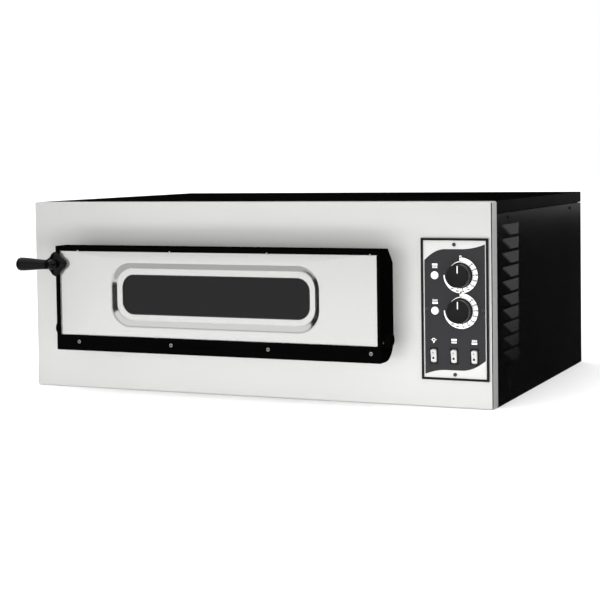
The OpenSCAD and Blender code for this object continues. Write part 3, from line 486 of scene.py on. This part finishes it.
BEND = 2.5 * MM                    # outer radius of the fold
CORNER_R = 0.4 * MM
FACADE_SHEET = 1.5 * MM
PLATE_OVERLAP = 12 * MM            # the mouth's closing plate reaches this far behind the facade
PANEL_INSET = (19 * MM, 29 * MM)   # the hole behind the control plate is this much smaller than it


def bent_rims(bm, first, cx, cz, w, h, y, depth):
    """Rolls a flat outline backwards through a bend and on into a straight return."""
    previous = first
    for i in range(1, 7):
        a = math.radians(15 * i)
        out = BEND * math.sin(a)
        outline = loop_xz(cx, cz, w + 2 * out, h + 2 * out, CORNER_R + out, 4)
        ring = ring_of(bm, outline, y + BEND * (1 - math.cos(a)))
        strip(bm, previous, ring)
        previous = ring
    last = ring_of(bm, loop_xz(cx, cz, w + 2 * BEND, h + 2 * BEND, CORNER_R + BEND, 4), y + depth)
    strip(bm, previous, last)


def tray(name, node, lo, hi, finish, holes):
    """Folded sheet tray in the XZ plane, its returns running back from the face."""
    bm = bmesh.new()
    cx, cz = (lo.x + hi.x) / 2, (lo.z + hi.z) / 2
    w, h = hi.x - lo.x - 2 * BEND, hi.z - lo.z - 2 * BEND
    flat = ring_of(bm, loop_xz(cx, cz, w, h, CORNER_R, 4), lo.y)
    fill_between(bm, [flat] + [ring_of(bm, hole, lo.y) for hole in holes])
    bent_rims(bm, flat, cx, cz, w, h, lo.y, hi.y - lo.y)
    piece = finish_mesh(name, bm, "oven", finish, replaces=(node,))
    normal = piece.data.polygons[0].normal
    thicken(piece, FACADE_SHEET, -1.0 if normal.y < 0 else 1.0)
    smooth_flats(piece)
    return piece


def make_facade():
    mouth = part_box("mouth_frame")
    door_hole = loop_xz((mouth[0].x + mouth[1].x) / 2, (mouth[0].z + mouth[1].z) / 2,
                        mouth[1].x - mouth[0].x - 2 * PLATE_OVERLAP,
                        mouth[1].z - mouth[0].z - 2 * PLATE_OVERLAP, 2 * MM, 4)
    plate_size = PLATE[1] - PLATE[0]
    panel_hole = loop_xz((PLATE[0].x + PLATE[1].x) / 2, (PLATE[0].z + PLATE[1].z) / 2,
                         plate_size.x - PANEL_INSET[0], plate_size.z - PANEL_INSET[1], 2 * MM, 4)
    sheet = tray("facade_sheet", "front_facade", *FACADE, "stainless", (door_hole, panel_hole))
    # the bend of the right fold alone takes the darker copy: painted shade along that fold
    sheet.data.materials.append(MATERIAL["polished_bend"])
    for face in sheet.data.polygons:
        on_right_fold = face.normal.x > 0.2 and abs(face.normal.y) > 0.2
        if on_right_fold:
            face.material_index = 1


LOUVRE_COUNT = 10
LOUVRE_PITCH = 24.6 * MM
LOUVRE_Z = 73 * MM
LOUVRE_H = 18 * MM
LOUVRE_Y = (59 * MM, 165 * MM)
LOUVRE_LEAD, LOUVRE_TAIL = 34 * MM, 26 * MM
LOUVRE_OUT = 6.5 * MM
SHEET = 1.2 * MM


def yz_plate(bm, x0, x1, outer, holes):
    """Closed plate between x0 and x1 with its outline and holes in the YZ plane."""
    start = len(bm.verts)
    plate_xz(bm, outer, holes, x0, x1)
    bm.verts.ensure_lookup_table()
    for v in bm.verts[start:]:
        v.co = Vector((v.co.y, v.co.x, v.co.z))


def louvre(bm, x, y0, y1, z0, height, out):
    """Pressed hood, open at its lower edge: a sloping face with a ramp at each end."""
    outer, inner = [], []
    rows_y = [y0 + LOUVRE_LEAD * i / 8 for i in range(8)]
    rows_y += [y0 + LOUVRE_LEAD + (y1 - LOUVRE_TAIL - y0 - LOUVRE_LEAD) * i / 6 for i in range(6)]
    rows_y += [y1 - LOUVRE_TAIL * (1 - i / 8) for i in range(9)]
    steps_y, steps_z = len(rows_y) - 1, 8
    for j in range(steps_z + 1):
        v = j / steps_z
        row_out, row_in = [], []
        for y in rows_y:
            reach = out * min(1 - v, (y - y0) / LOUVRE_LEAD, (y1 - y) / LOUVRE_TAIL)
            row_out.append(bm.verts.new((x + reach, y, z0 + height * v)))
            row_in.append(bm.verts.new((x + reach - SHEET * 0.8, y, z0 + height * v)))
        outer.append(row_out)
        inner.append(row_in)
    for rows, flip in ((outer, False), (inner, True)):
        for j in range(steps_z):
            for i in range(steps_y):
                quad = [rows[j][i], rows[j][i + 1], rows[j + 1][i + 1], rows[j + 1][i]]
                bm.faces.new(reversed(quad) if flip else quad)
    for i in range(steps_y):
        bm.faces.new((outer[0][i + 1], outer[0][i], inner[0][i], inner[0][i + 1]))
        bm.faces.new((outer[-1][i], outer[-1][i + 1], inner[-1][i + 1], inner[-1][i]))
    for j in range(steps_z):
        bm.faces.new((outer[j][0], outer[j + 1][0], inner[j + 1][0], inner[j][0]))
        bm.faces.new((outer[j + 1][-1], outer[j][-1], inner[j][-1], inner[j + 1][-1]))


def make_right_panel():
    lo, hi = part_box("right_side_panel")
    bm = bmesh.new()
    outline = loop_xz((lo.y + hi.y) / 2, (lo.z + hi.z) / 2, hi.y - lo.y, hi.z - lo.z, 0.6 * MM, 3)
    slots = []
    y0, y1 = FACE_Y + LOUVRE_Y[0], FACE_Y + LOUVRE_Y[1]
    for i in range(LOUVRE_COUNT):
        z = LOUVRE_Z + i * LOUVRE_PITCH
        slots.append(loop_xz((y0 + y1) / 2 + 4 * MM, z + 6 * MM, y1 - y0 - 26 * MM, 11 * MM, 3 * MM, 4))
    yz_plate(bm, HALF_W - SHEET, HALF_W, outline, slots)
    for i in range(LOUVRE_COUNT):
        louvre(bm, HALF_W, y0, y1, LOUVRE_Z + i * LOUVRE_PITCH, LOUVRE_H, LOUVRE_OUT)
    box_into(bm, (lo.x, lo.y, hi.z - SHEET), (HALF_W - SHEET, hi.y, hi.z))
    panel = finish_mesh("louvred_side", bm, "oven", "black_paint", replaces=("right_side_panel",), angle=40)
    smooth_flats(panel)


# ---------------------------------------------------------------- door

RECESS_W, RECESS_H = 419 * MM, 118 * MM
SLOPE = 9.5 * MM
RECESS_R, FLOOR_R = 41 * MM, 32 * MM
SEAL_OVERLAP = 10 * MM             # glass and seal reach this far behind the sheet in all
PANE_R = 23 * MM
FLAT = 0.97                        # a face of the sheet leans once its normal's Y falls below this


def pane_size():
    return GLASS[1].x - GLASS[0].x - SEAL_OVERLAP, GLASS[1].z - GLASS[0].z - SEAL_OVERLAP


def smooth(t):
    t = min(1.0, max(0.0, t))
    return t * t * (3 - 2 * t)


def ramp(t, start=0.5, end=0.14):
    """Slope from 0 to 1 with a wide roll at the start and a tight one at the end."""
    steep = 1 / (1 - start / 2 - end / 2)
    if t < start:
        return steep * t * t / (2 * start)
    if t > 1 - end:
        return 1 - steep * (1 - t) ** 2 / (2 * end)
    return steep * (t - start / 2)


def make_door_skin():
    """Sheet with a pressed recess: rings from the outer edge to the rolled edge of the pane."""
    lo, hi = SKIN
    cx, cz = (GLASS[0].x + GLASS[1].x) / 2, (GLASS[0].z + GLASS[1].z) / 2
    depth = hi.y - lo.y - SHEET
    pane_w, pane_h = pane_size()
    bm = bmesh.new()
    seg = 14
    outer = ring_of(bm, loop_xz((lo.x + hi.x) / 2, (lo.z + hi.z) / 2, hi.x - lo.x, hi.z - lo.z,
                                0.3 * MM, seg), lo.y)
    rings = [outer]
    steps = 14
    lead = 2.0 * MM
    for i in range(steps + 1):
        inset = -lead + (SLOPE + 2 * lead) * i / steps
        t = ramp(i / steps)
        share = min(1, max(0, inset / SLOPE))
        radius = RECESS_R + (FLOOR_R - RECESS_R) * share - min(0, inset)
        rings.append(ring_of(bm, loop_xz(cx, cz, RECESS_W - 2 * inset, RECESS_H - 2 * inset, radius, seg),
                             lo.y + depth * t))
    for i in range(5):
        a = math.radians(22.5 * i)
        grow = 1.2 * MM * (1 - math.sin(a))
        rings.append(ring_of(bm, loop_xz(cx, cz, pane_w + 2 * grow, pane_h + 2 * grow, PANE_R + grow, seg),
                             lo.y + depth + 1.2 * MM * (1 - math.cos(a))))
    for a, b in zip(rings, rings[1:]):
        strip(bm, a, b)
    piece = finish_mesh("door_sheet", bm, "door", "pressed_stainless", ("door_skin",), 60)
    piece.data.materials.append(MATERIAL["pressed_bend"])
    for face in piece.data.polygons:
        if abs(face.normal.y) < FLAT:
            face.material_index = 1
    normal = piece.data.polygons[0].normal
    thicken(piece, SHEET * 0.9, -1.0 if normal.y < 0 else 1.0)
    smooth_flats(piece)


# ---------------------------------------------------------------- controls

PRINT = 0.12 * MM                  # thickness of the printed layers
KNOBS = {"upper_knob": "upper", "lower_knob": "lower"}
ROCKERS = ("lamp_rocker", "top_heat_rocker", "bottom_heat_rocker")
PLATE_MARGIN = 2.0 * MM
SCALE_R = 30.5 * MM
# angles on the dial, in degrees clockwise from its top
TAIL_START, DIAL_START, WIDE_END, DIAL_END = -58, 3, 178, 270
FIRST_NUMBER, NUMBER_STEP = 46, 21
NUMBERS = 9
BAND_R, NUMBER_R = 20 * MM, 27.7 * MM
TAIL_R = 22.4 * MM
ZERO_R = 30.6 * MM
FALL_END, CLIMB_START = 0.35, 0.6  # shares of the plate's width where the print's edge bends
TOP_EDGE = (-14.8, 19.5, 8.5)      # level, fall and climb from the plate's edge, in millimetres
BOTTOM_EDGE = (13.2, 8.0, 18.5)
SPINDLE_HOLE = 4 * MM


def swoosh(t, low, dip, rise):
    """Height of the print's edge across the plate: falls away at the left, climbs at the right."""
    if t < FALL_END:
        return low - dip * ((FALL_END - t) / FALL_END) ** 2.0
    if t > CLIMB_START:
        return low + rise * ((t - CLIMB_START) / (1 - CLIMB_START)) ** 2.0
    return low


def make_plate():
    lo, hi = PLATE
    bm = bmesh.new()
    holes = [circle_xz(middle(k).x, middle(k).z, SPINDLE_HOLE, 20) for k in KNOBS]
    plate_xz(bm, loop_xz((lo.x + hi.x) / 2, (lo.z + hi.z) / 2, hi.x - lo.x, hi.z - lo.z, 0.5 * MM, 3),
             holes, lo.y, hi.y)
    finish_mesh("panel_plate", bm, "oven", "printed_plate", replaces=("control_plate",))
    x0, x1 = lo.x + PLATE_MARGIN, hi.x - PLATE_MARGIN
    steps = 40
    top, bottom = [], []
    for i in range(steps + 1):
        t = i / steps
        x = x0 + (x1 - x0) * t
        top.append((x, hi.z + swoosh(t, *TOP_EDGE) * MM))
        bottom.append((x, lo.z + swoosh(t, *BOTTOM_EDGE) * MM))
    bm = bmesh.new()
    plate_xz(bm, bottom + top[::-1], holes, lo.y - PRINT, lo.y)
    finish_mesh("panel_dark_print", bm, "oven", "dark_print")


def band(bm, cx, cz, start, end, inner, outer, y0, y1, steps=60):
    """Flat solid between two radii that follow the clockwise angle from the top, in degrees."""
    rows = []
    for i in range(steps + 1):
        t = i / steps
        a = math.radians(90 - (start + (end - start) * t))
        rows.append([(cx + r * math.cos(a), cz + r * math.sin(a)) for r in (inner(t), outer(t))])
    outline = [row[1] for row in rows] + [row[0] for row in rows[::-1]]
    plate_xz(bm, outline, [], y0, y1)


def lettering(text, size, at, name):
    """Number as a thin solid, upright and centred at a point of the plate."""
    curve = bpy.data.curves.new(name, "FONT")
    curve.body = text
    curve.size = size
    curve.align_x = "CENTER"
    curve.align_y = "CENTER"
    curve.extrude = PRINT / 2
    curve.offset = size * 0.05
    source = bpy.data.objects.new(name, curve)
    bpy.context.scene.collection.objects.link(source)
    bpy.context.view_layer.update()
    mesh = bpy.data.meshes.new_from_object(source.evaluated_get(bpy.context.evaluated_depsgraph_get()))
    bpy.data.objects.remove(source)
    mesh.transform(Matrix.Translation(at) @ Matrix.Rotation(math.radians(90), 4, "X"))
    bm = bmesh.new()
    bm.from_mesh(mesh)
    bpy.data.meshes.remove(mesh)
    finish_mesh(name, bm, "oven", "black_print")


def make_dial(knob, prefix):
    centre = middle(knob)
    cx, cz = centre.x, centre.z
    y = PLATE[0].y - PRINT
    bm = bmesh.new()
    band(bm, cx, cz, DIAL_START, WIDE_END, lambda t: BAND_R, lambda t: SCALE_R, y - PRINT, y)
    band(bm, cx, cz, WIDE_END, DIAL_END, lambda t: (20 + 8.6 * math.sin(t * math.pi / 2)) * MM,
         lambda t: SCALE_R, y - PRINT, y)
    band(bm, cx, cz, TAIL_START, DIAL_START, lambda t: TAIL_R, lambda t: (22.5 + 2.2 * t) * MM,
         y - PRINT, y)
    plate_xz(bm, loop_xz(cx, cz + 28.6 * MM, 3.6 * MM, 10.4 * MM, 1 * MM, 4), [], y - PRINT, y)
    finish_mesh(prefix + "_scale_band", bm, "oven", "white_print")
    bm = bmesh.new()
    for i in range(2 * NUMBERS - 1):
        a = FIRST_NUMBER + NUMBER_STEP * i / 2
        half, reach = (2.2, 24.8) if i % 2 == 0 else (1.2, 23.4)
        band(bm, cx, cz, a - half, a + half, lambda t: 22.3 * MM, lambda t: reach * MM,
             y - 2 * PRINT, y - PRINT, 2)
    finish_mesh(prefix + "_scale_ticks", bm, "oven", "black_print")
    for i in range(NUMBERS):
        a = math.radians(FIRST_NUMBER + NUMBER_STEP * i)
        at = (cx + NUMBER_R * math.sin(a), y - 1.5 * PRINT, cz + NUMBER_R * math.cos(a))
        lettering(str(50 * (i + 1)), 3.6 * MM, at, f"{prefix}_number_{i + 1}")
    lettering("0", 4.6 * MM, (cx, y - 1.5 * PRINT, cz + ZERO_R), prefix + "_number_0")


def make_knob(knob, prefix):
    """Skirted knob with a waist, finger flutes round it and a raised white pointer line."""
    lo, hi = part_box(knob)
    cx, cz = middle(knob).x, middle(knob).z
    r = (hi.x - lo.x) / 2
    h = hi.y - lo.y
    body = prefix + "_dial"
    bm = bmesh.new()
    profile = [(0, 0), (r * 0.94, 0)]
    profile += [(r - 0.8 * MM + 0.8 * MM * math.cos(a), 0.8 * MM + 0.8 * MM * math.sin(a))
                for a in (-math.pi / 2, -math.pi / 4, 0)]
    profile += [(r, 2.2 * MM), (r - 0.5 * MM, 2.9 * MM), (r - 1.3 * MM, 3.6 * MM), (r - 1.6 * MM, 5 * MM),
                (r - 1.9 * MM, h - 1.8 * MM)]
    profile += [(r - 1.9 * MM - 1.3 * MM + px, h - 1.5 * MM + py)
                for px, py in arc(0, 0, 1.3 * MM, 0, 90, 6)]
    profile += [(r - 4.0 * MM, h - 0.45 * MM), (r - 4.6 * MM, h - 0.8 * MM), (0, h - 0.9 * MM)]
    turned(bm, profile, (cx, hi.y, cz), (0, -1, 0), 96)
    axis = Vector((cx, 0, cz))
    for v in bm.verts:
        d = hi.y - v.co.y
        flat = Vector((v.co.x, 0, v.co.z)) - axis
        if 4.5 * MM < d < h - 1.0 * MM and flat.length > r * 0.6:
            wave = 0.5 + 0.5 * math.cos(24 * math.atan2(flat.z, flat.x))
            cut = 1 - 0.022 * wave
            v.co.x, v.co.z = axis.x + flat.x * cut, axis.z + flat.z * cut
    finish_mesh(prefix + "_knob_body", bm, body, "black_plastic", replaces=(knob,), angle=50)
    bm = bmesh.new()
    y = hi.y - h + 0.9 * MM
    line = loop_xz(cx, cz + r * 0.5, 1.4 * MM, r * 0.58, 0.6 * MM, 4)
    plate_xz(bm, line, [], y - 0.35 * MM, y + 0.2 * MM)
    finish_mesh(prefix + "_knob_pointer", bm, body, "white_print")


def heat_symbol(bm, x, z, y, bar_top):
    """Bar over or under a row of short strokes."""
    w = 9.6 * MM
    bar_z = z + (2.6 * MM if bar_top else -2.6 * MM)
    row_z = z - (1.8 * MM if bar_top else -1.8 * MM)
    plate_xz(bm, loop_xz(x, bar_z, w, 3.2 * MM, 0.3 * MM, 2), [], y - PRINT, y)
    for i in range(5):
        px = x - w / 2 + w * (i + 0.5) / 5
        plate_xz(bm, loop_xz(px, row_z, 0.9 * MM, 3.6 * MM, 0.3 * MM, 2), [], y - PRINT, y)


def lamp_symbol(bm, x, z, y):
    """Small bulb outline with its cap and two rays."""
    ring = [circle_xz(x, z + 0.8 * MM, 3.0 * MM, 24), circle_xz(x, z + 0.8 * MM, 2.0 * MM, 24)]
    plate_xz(bm, ring[0], [ring[1]], y - PRINT, y)
    plate_xz(bm, [(x - 1.4 * MM, z - 2.1 * MM), (x + 1.4 * MM, z - 2.1 * MM), (x + 0.8 * MM, z - 4.6 * MM),
                  (x - 0.8 * MM, z - 4.6 * MM)], [], y - PRINT, y)
    for side in (-1, 1):
        plate_xz(bm, loop_xz(x + side * 4.4 * MM, z + 0.8 * MM, 1.5 * MM, 0.8 * MM, 0.2 * MM, 2), [],
                 y - PRINT, y)


def make_symbols():
    y = PLATE[0].y - PRINT
    bm = bmesh.new()
    for lamp, top in (("upper_pilot_lamp", True), ("lower_pilot_lamp", False)):
        heat_symbol(bm, middle(lamp).x, middle(lamp).z + 15.8 * MM, y, top)
    for rocker, top in (("top_heat_rocker", True), ("bottom_heat_rocker", False)):
        heat_symbol(bm, middle(rocker).x, middle(rocker).z + 26 * MM, y, top)
    lamp_symbol(bm, middle("lamp_rocker").x, middle("lamp_rocker").z + 27 * MM, y)
    finish_mesh("panel_symbols", bm, "oven", "white_print")


def make_pilot_lamp(node, prefix):
    """Milky domed lens in a thin bright collar."""
    lo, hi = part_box(node)
    cx, cz = middle(node).x, middle(node).z
    r = (hi.x - lo.x) / 2
    base = PLATE[0].y
    bm = bmesh.new()
    dome = [(0.0, 0.0), (r * 0.99, 0.0), (r, 0.4 * MM), (r, 1.4 * MM), (r * 0.96, 2.0 * MM)]
    dome += [(r * 0.96 * math.cos(math.radians(a)), 2.0 * MM + 1.9 * MM * math.sin(math.radians(a)))
             for a in (15, 30, 45, 60, 75)]
    dome += [(0, 3.9 * MM)]
    turned(bm, dome, (cx, base, cz), (0, -1, 0), 40)
    back = hi.y - base
    socket = [(0, 0), (5.0 * MM, 0), (5.0 * MM, back - 1 * MM), (4 * MM, back), (0, back)]
    turned(bm, socket, (cx, base, cz), (0, 1, 0), 24)
    finish_mesh(prefix + "_lamp_lens", bm, "oven", "lamp_lens", replaces=(node,))


def make_handle():
    """Tapered grip, and a four-sided hub whose post carries a ball collar."""
    lo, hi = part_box("handle_grip")
    cy, cz = (lo.y + hi.y) / 2, (lo.z + hi.z) / 2
    r1 = (hi.z - lo.z) / 2
    r0 = r1 * 0.72
    length = hi.x - lo.x
    round_r = 6 * MM
    bm = bmesh.new()
    profile = [(0, 0)] + [(r0 - 1.5 * MM + px, 1.5 * MM + py) for px, py in arc(0, 0, 1.5 * MM, -90, 0, 4)]
    for i in range(1, 10):
        t = i / 9
        profile.append((r0 + (r1 - r0) * smooth(t) ** 0.9, 1.5 * MM + (length - 1.5 * MM - round_r) * t))
    profile += [(r1 - round_r + px, length - round_r + py) for px, py in arc(0, 0, round_r, 12, 90, 7)]
    profile += [(0, length)]
    turned(bm, profile, (hi.x, cy, cz), (-1, 0, 0), 56)
    finish_mesh("handle_grip_moulding", bm, "door", "handle_plastic", replaces=("handle_grip",), angle=50)

    lo, hub_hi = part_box("handle_hub")
    rim_y = DOOR[0].y
    half = (hub_hi.z - lo.z) / 2
    hub_x = hub_hi.x - half
    bm = bmesh.new()
    rings = []
    for share, depth in ((1.0, 0.0), (1.0, 2.0), (0.95, 3.2), (0.84, 4.6), (0.68, 5.8), (0.46, 6.5)):
        points = []
        for k in range(4):
            for step in range(-4, 5):
                a = math.radians(90 * k + step * 9)
                blunt = 1 - 0.22 * (abs(step) / 4) ** 1.5
                reach = half * share * blunt
                points.append((hub_x + reach * math.cos(a), cz + reach * math.sin(a)))
        rings.append(ring_of(bm, points, rim_y - depth * MM))
    for a, b in zip(rings, rings[1:]):
        strip(bm, a, b)
    bm.faces.new(rings[0])
    bm.faces.new(rings[-1])
    neck = 8 * MM
    turned(bm, [(0, 0), (neck, 0), (neck, rim_y - 7 * MM - cy), (0, rim_y - 7 * MM - cy)],
           (hub_x, rim_y - 6 * MM, cz), (0, -1, 0), 40)
    ball_r = 9.5 * MM
    ball = [(ball_r * math.sin(math.radians(a)), ball_r - ball_r * math.cos(math.radians(a)))
            for a in range(0, 181, 12)]
    ball[0], ball[-1] = (0, 0), (0, 2 * ball_r)
    turned(bm, ball, (hi.x + 2 * ball_r, cy, cz), (-1, 0, 0), 40)
    arm = [(0, 0), (6 * MM, 0), (6 * MM, ball_r), (0, ball_r)]
    turned(bm, arm, (hi.x + ball_r, cy, cz), (-1, 0, 0), 32)
    finish_mesh("handle_hub_casting", bm, "door", "handle_plastic", replaces=("handle_hub",), angle=45)


# ---------------------------------------------------------------- rockers and door screws

ROCKER_LEAN = math.radians(9)
PIVOT_DEPTH = 0.5 * MM             # the rocker's pivot is this far in front of the facade


def make_rocker(node, body):
    """Moulded rocker: V-shaped face with round ends, a printed stroke and a flat black oval as painted
    shade for a thumb recess.
    """
    centre = Vector((middle(node).x, FACE_Y - PIVOT_DEPTH, middle("switch_housings").z))
    turn = Matrix.Translation(centre) @ Matrix.Rotation(ROCKER_LEAN, 4, "X")
    half_x, half_z = 5.2 * MM, 11.4 * MM
    bm = bmesh.new()
    rows = []
    steps = 18
    for i in range(steps + 1):
        z = -half_z + 2 * half_z * i / steps
        end = min(1.0, (half_z - abs(z)) / (3.4 * MM))
        face = -(3.5 + 1.7 * (abs(z) / half_z) ** 1.4) * MM + 1.6 * MM * (1 - math.sqrt(1 - (1 - end) ** 2))
        narrow = half_x - 2.8 * MM * (1 - math.sqrt(1 - (1 - end) ** 2))
        left = [(-narrow, 0.4 * MM), (-narrow, face + 1.2 * MM), (-narrow + 0.35 * MM, face + 0.35 * MM),
                (-narrow + 1.2 * MM, face)]
        row = left + [(-x, y) for x, y in reversed(left)]
        rows.append([bm.verts.new((x, y, z)) for x, y in row])
    for a, b in zip(rows, rows[1:]):
        strip(bm, a, b)
    bm.faces.new(rows[0])
    bm.faces.new(rows[-1])
    bm.transform(turn)
    finish_mesh(body + "_key", bm, body, "grey_plastic", replaces=(node,), angle=50)
    bm = bmesh.new()
    plate_xz(bm, loop_xz(-0.6 * MM, 6.4 * MM, 1.1 * MM, 4.0 * MM, 0.4 * MM, 3), [], -4.42 * MM, -4.0 * MM)
    # flat black oval on the face: painted shade for a thumb recess
    oval = [(-0.4 * MM + 2.0 * MM * math.cos(a), -4.6 * MM + 3.2 * MM * math.sin(a))
            for a in (math.radians(step) for step in range(0, 360, 15))]
    plate_xz(bm, oval, [], -4.12 * MM, -3.6 * MM)
    bm.transform(turn)
    finish_mesh(body + "_key_print_and_shade", bm, body, "black_print")


STRIP_SCREWS = 4
STRIP_SCREW_Z = 96.5 * MM
FIRST_SCREW_X, SCREW_PITCH = -322 * MM, 194.3 * MM
RIVET_DROP = 9.0 * MM              # the rim's rivets sit this far below its top
CHEEK_RIVETS = ((12 * MM, 115 * MM), (20 * MM, 115 * MM))   # back from the door's face, and height


def make_door_screws():
    """Button heads along the strip with a black hexagon in each socket as painted shade, small rivets under
    the rim and in the cheeks.
    """
    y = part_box("door_bottom_strip")[0].y
    rim_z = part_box("door_top_rim")[1].z - RIVET_DROP
    heads, socket_shade = bmesh.new(), bmesh.new()
    for i in range(STRIP_SCREWS):
        x = FIRST_SCREW_X + SCREW_PITCH * i
        head = [(0, -1.5 * MM), (1.6 * MM, -1.5 * MM), (1.6 * MM, 0), (3.5 * MM, 0), (3.5 * MM, 0.4 * MM)]
        head += [(1.8 * MM + 1.7 * MM * math.cos(a), 0.4 * MM + 1.3 * MM * math.sin(a))
                 for a in (math.radians(step) for step in (20, 40, 60, 80))]
        head += [(1.6 * MM, 1.5 * MM), (1.5 * MM, 0.6 * MM), (0, 0.6 * MM)]
        turned(heads, head, (x, y, STRIP_SCREW_Z), (0, -1, 0), 32)
        # black hexagon filling each socket: painted shade in the hole
        turned(socket_shade, [(0, 0.55 * MM), (1.55 * MM, 0.55 * MM), (1.55 * MM, 1.1 * MM), (0, 0.9 * MM)],
               (x, y, STRIP_SCREW_Z), (0, -1, 0), 6)
        turned(heads, [(0, -0.5 * MM), (1.7 * MM, -0.5 * MM), (1.7 * MM, 0.2 * MM), (1.1 * MM, 0.7 * MM),
                       (0, 0.9 * MM)], (x, y, rim_z), (0, -1, 0), 20)
    for side, x in ((1, DOOR[1].x), (-1, DOOR[0].x)):
        for back, z in CHEEK_RIVETS:
            rivet = [(0, -0.5 * MM), (2.6 * MM, -0.5 * MM), (2.6 * MM, 0.4 * MM), (1.7 * MM, 1.0 * MM),
                     (0, 1.2 * MM)]
            turned(heads, rivet, (x, DOOR[0].y + back, z), (side, 0, 0), 20)
    finish_mesh("door_screw_heads", heads, "door", "zinc_screw", replaces=("door_screws",), angle=40)
    finish_mesh("door_screw_socket_shade", socket_shade, "door", "black_print")


# ---------------------------------------------------------------- CAD pieces that stay

# width of the small rounding on the edges of each CAD piece that stays visible, in millimetres
SHARP = {"base_panel": 0.4, "left_side_panel": 0.4, "rear_panel": 0.6, "top_cover": 0.8,
         "door_top_rim": 0.8, "door_bottom_strip": 0.8, "left_cheek": 0.6, "right_cheek": 0.6,
         "control_frame": 0.5, "switch_housings": 0.4, "hinge_pins": 0.3, "case_screws": 0.2,
         "control_screws": 0.2, "left_stone": 1.0, "right_stone": 1.0, "mouth_frame": 0.4,
         "door_inner_pan": 0.6, "cable_gland": 0.4, "earth_stud": 0.3, "hinge_brackets": 0.4,
         "outer_glass": 0.5, "inner_glass": 0.5, "mouth_gasket": 0.8}

# bounced light passes through these pieces, so they don't darken the steel beside them
OPEN_TO_FILL_LIGHT = ("door_bottom_strip", "right_cheek", "left_cheek", "door_top_rim", "door_inner_pan",
                      "door_insulation", "hinge_pins")


def finish_cad_nodes():
    for name in OPEN_TO_FILL_LIGHT:
        frame["nodes"][name].visible_diffuse = False
    for name, node in frame["nodes"].items():
        node.data.materials.clear()
        node.data.materials.append(MATERIAL[FINISH[name]])
        if name in SHARP:
            weld = node.modifiers.new("weld", "WELD")
            weld.merge_threshold = 0.01 * MM
            round_edges(node, SHARP[name] * MM)


# ---------------------------------------------------------------- start

make_camera()
make_floor()
make_light()
finish_cad_nodes()
make_facade()
make_right_panel()
make_door_skin()
make_plate()
for knob_node, knob_prefix in KNOBS.items():
    make_dial(knob_node, knob_prefix)
    make_knob(knob_node, knob_prefix)
make_symbols()
make_pilot_lamp("upper_pilot_lamp", "upper")
make_pilot_lamp("lower_pilot_lamp", "lower")
make_handle()
for rocker_node, rocker_body in zip(ROCKERS, ("lamp_switch", "top_heat_switch", "bottom_heat_switch")):
    make_rocker(rocker_node, rocker_body)
make_door_screws()
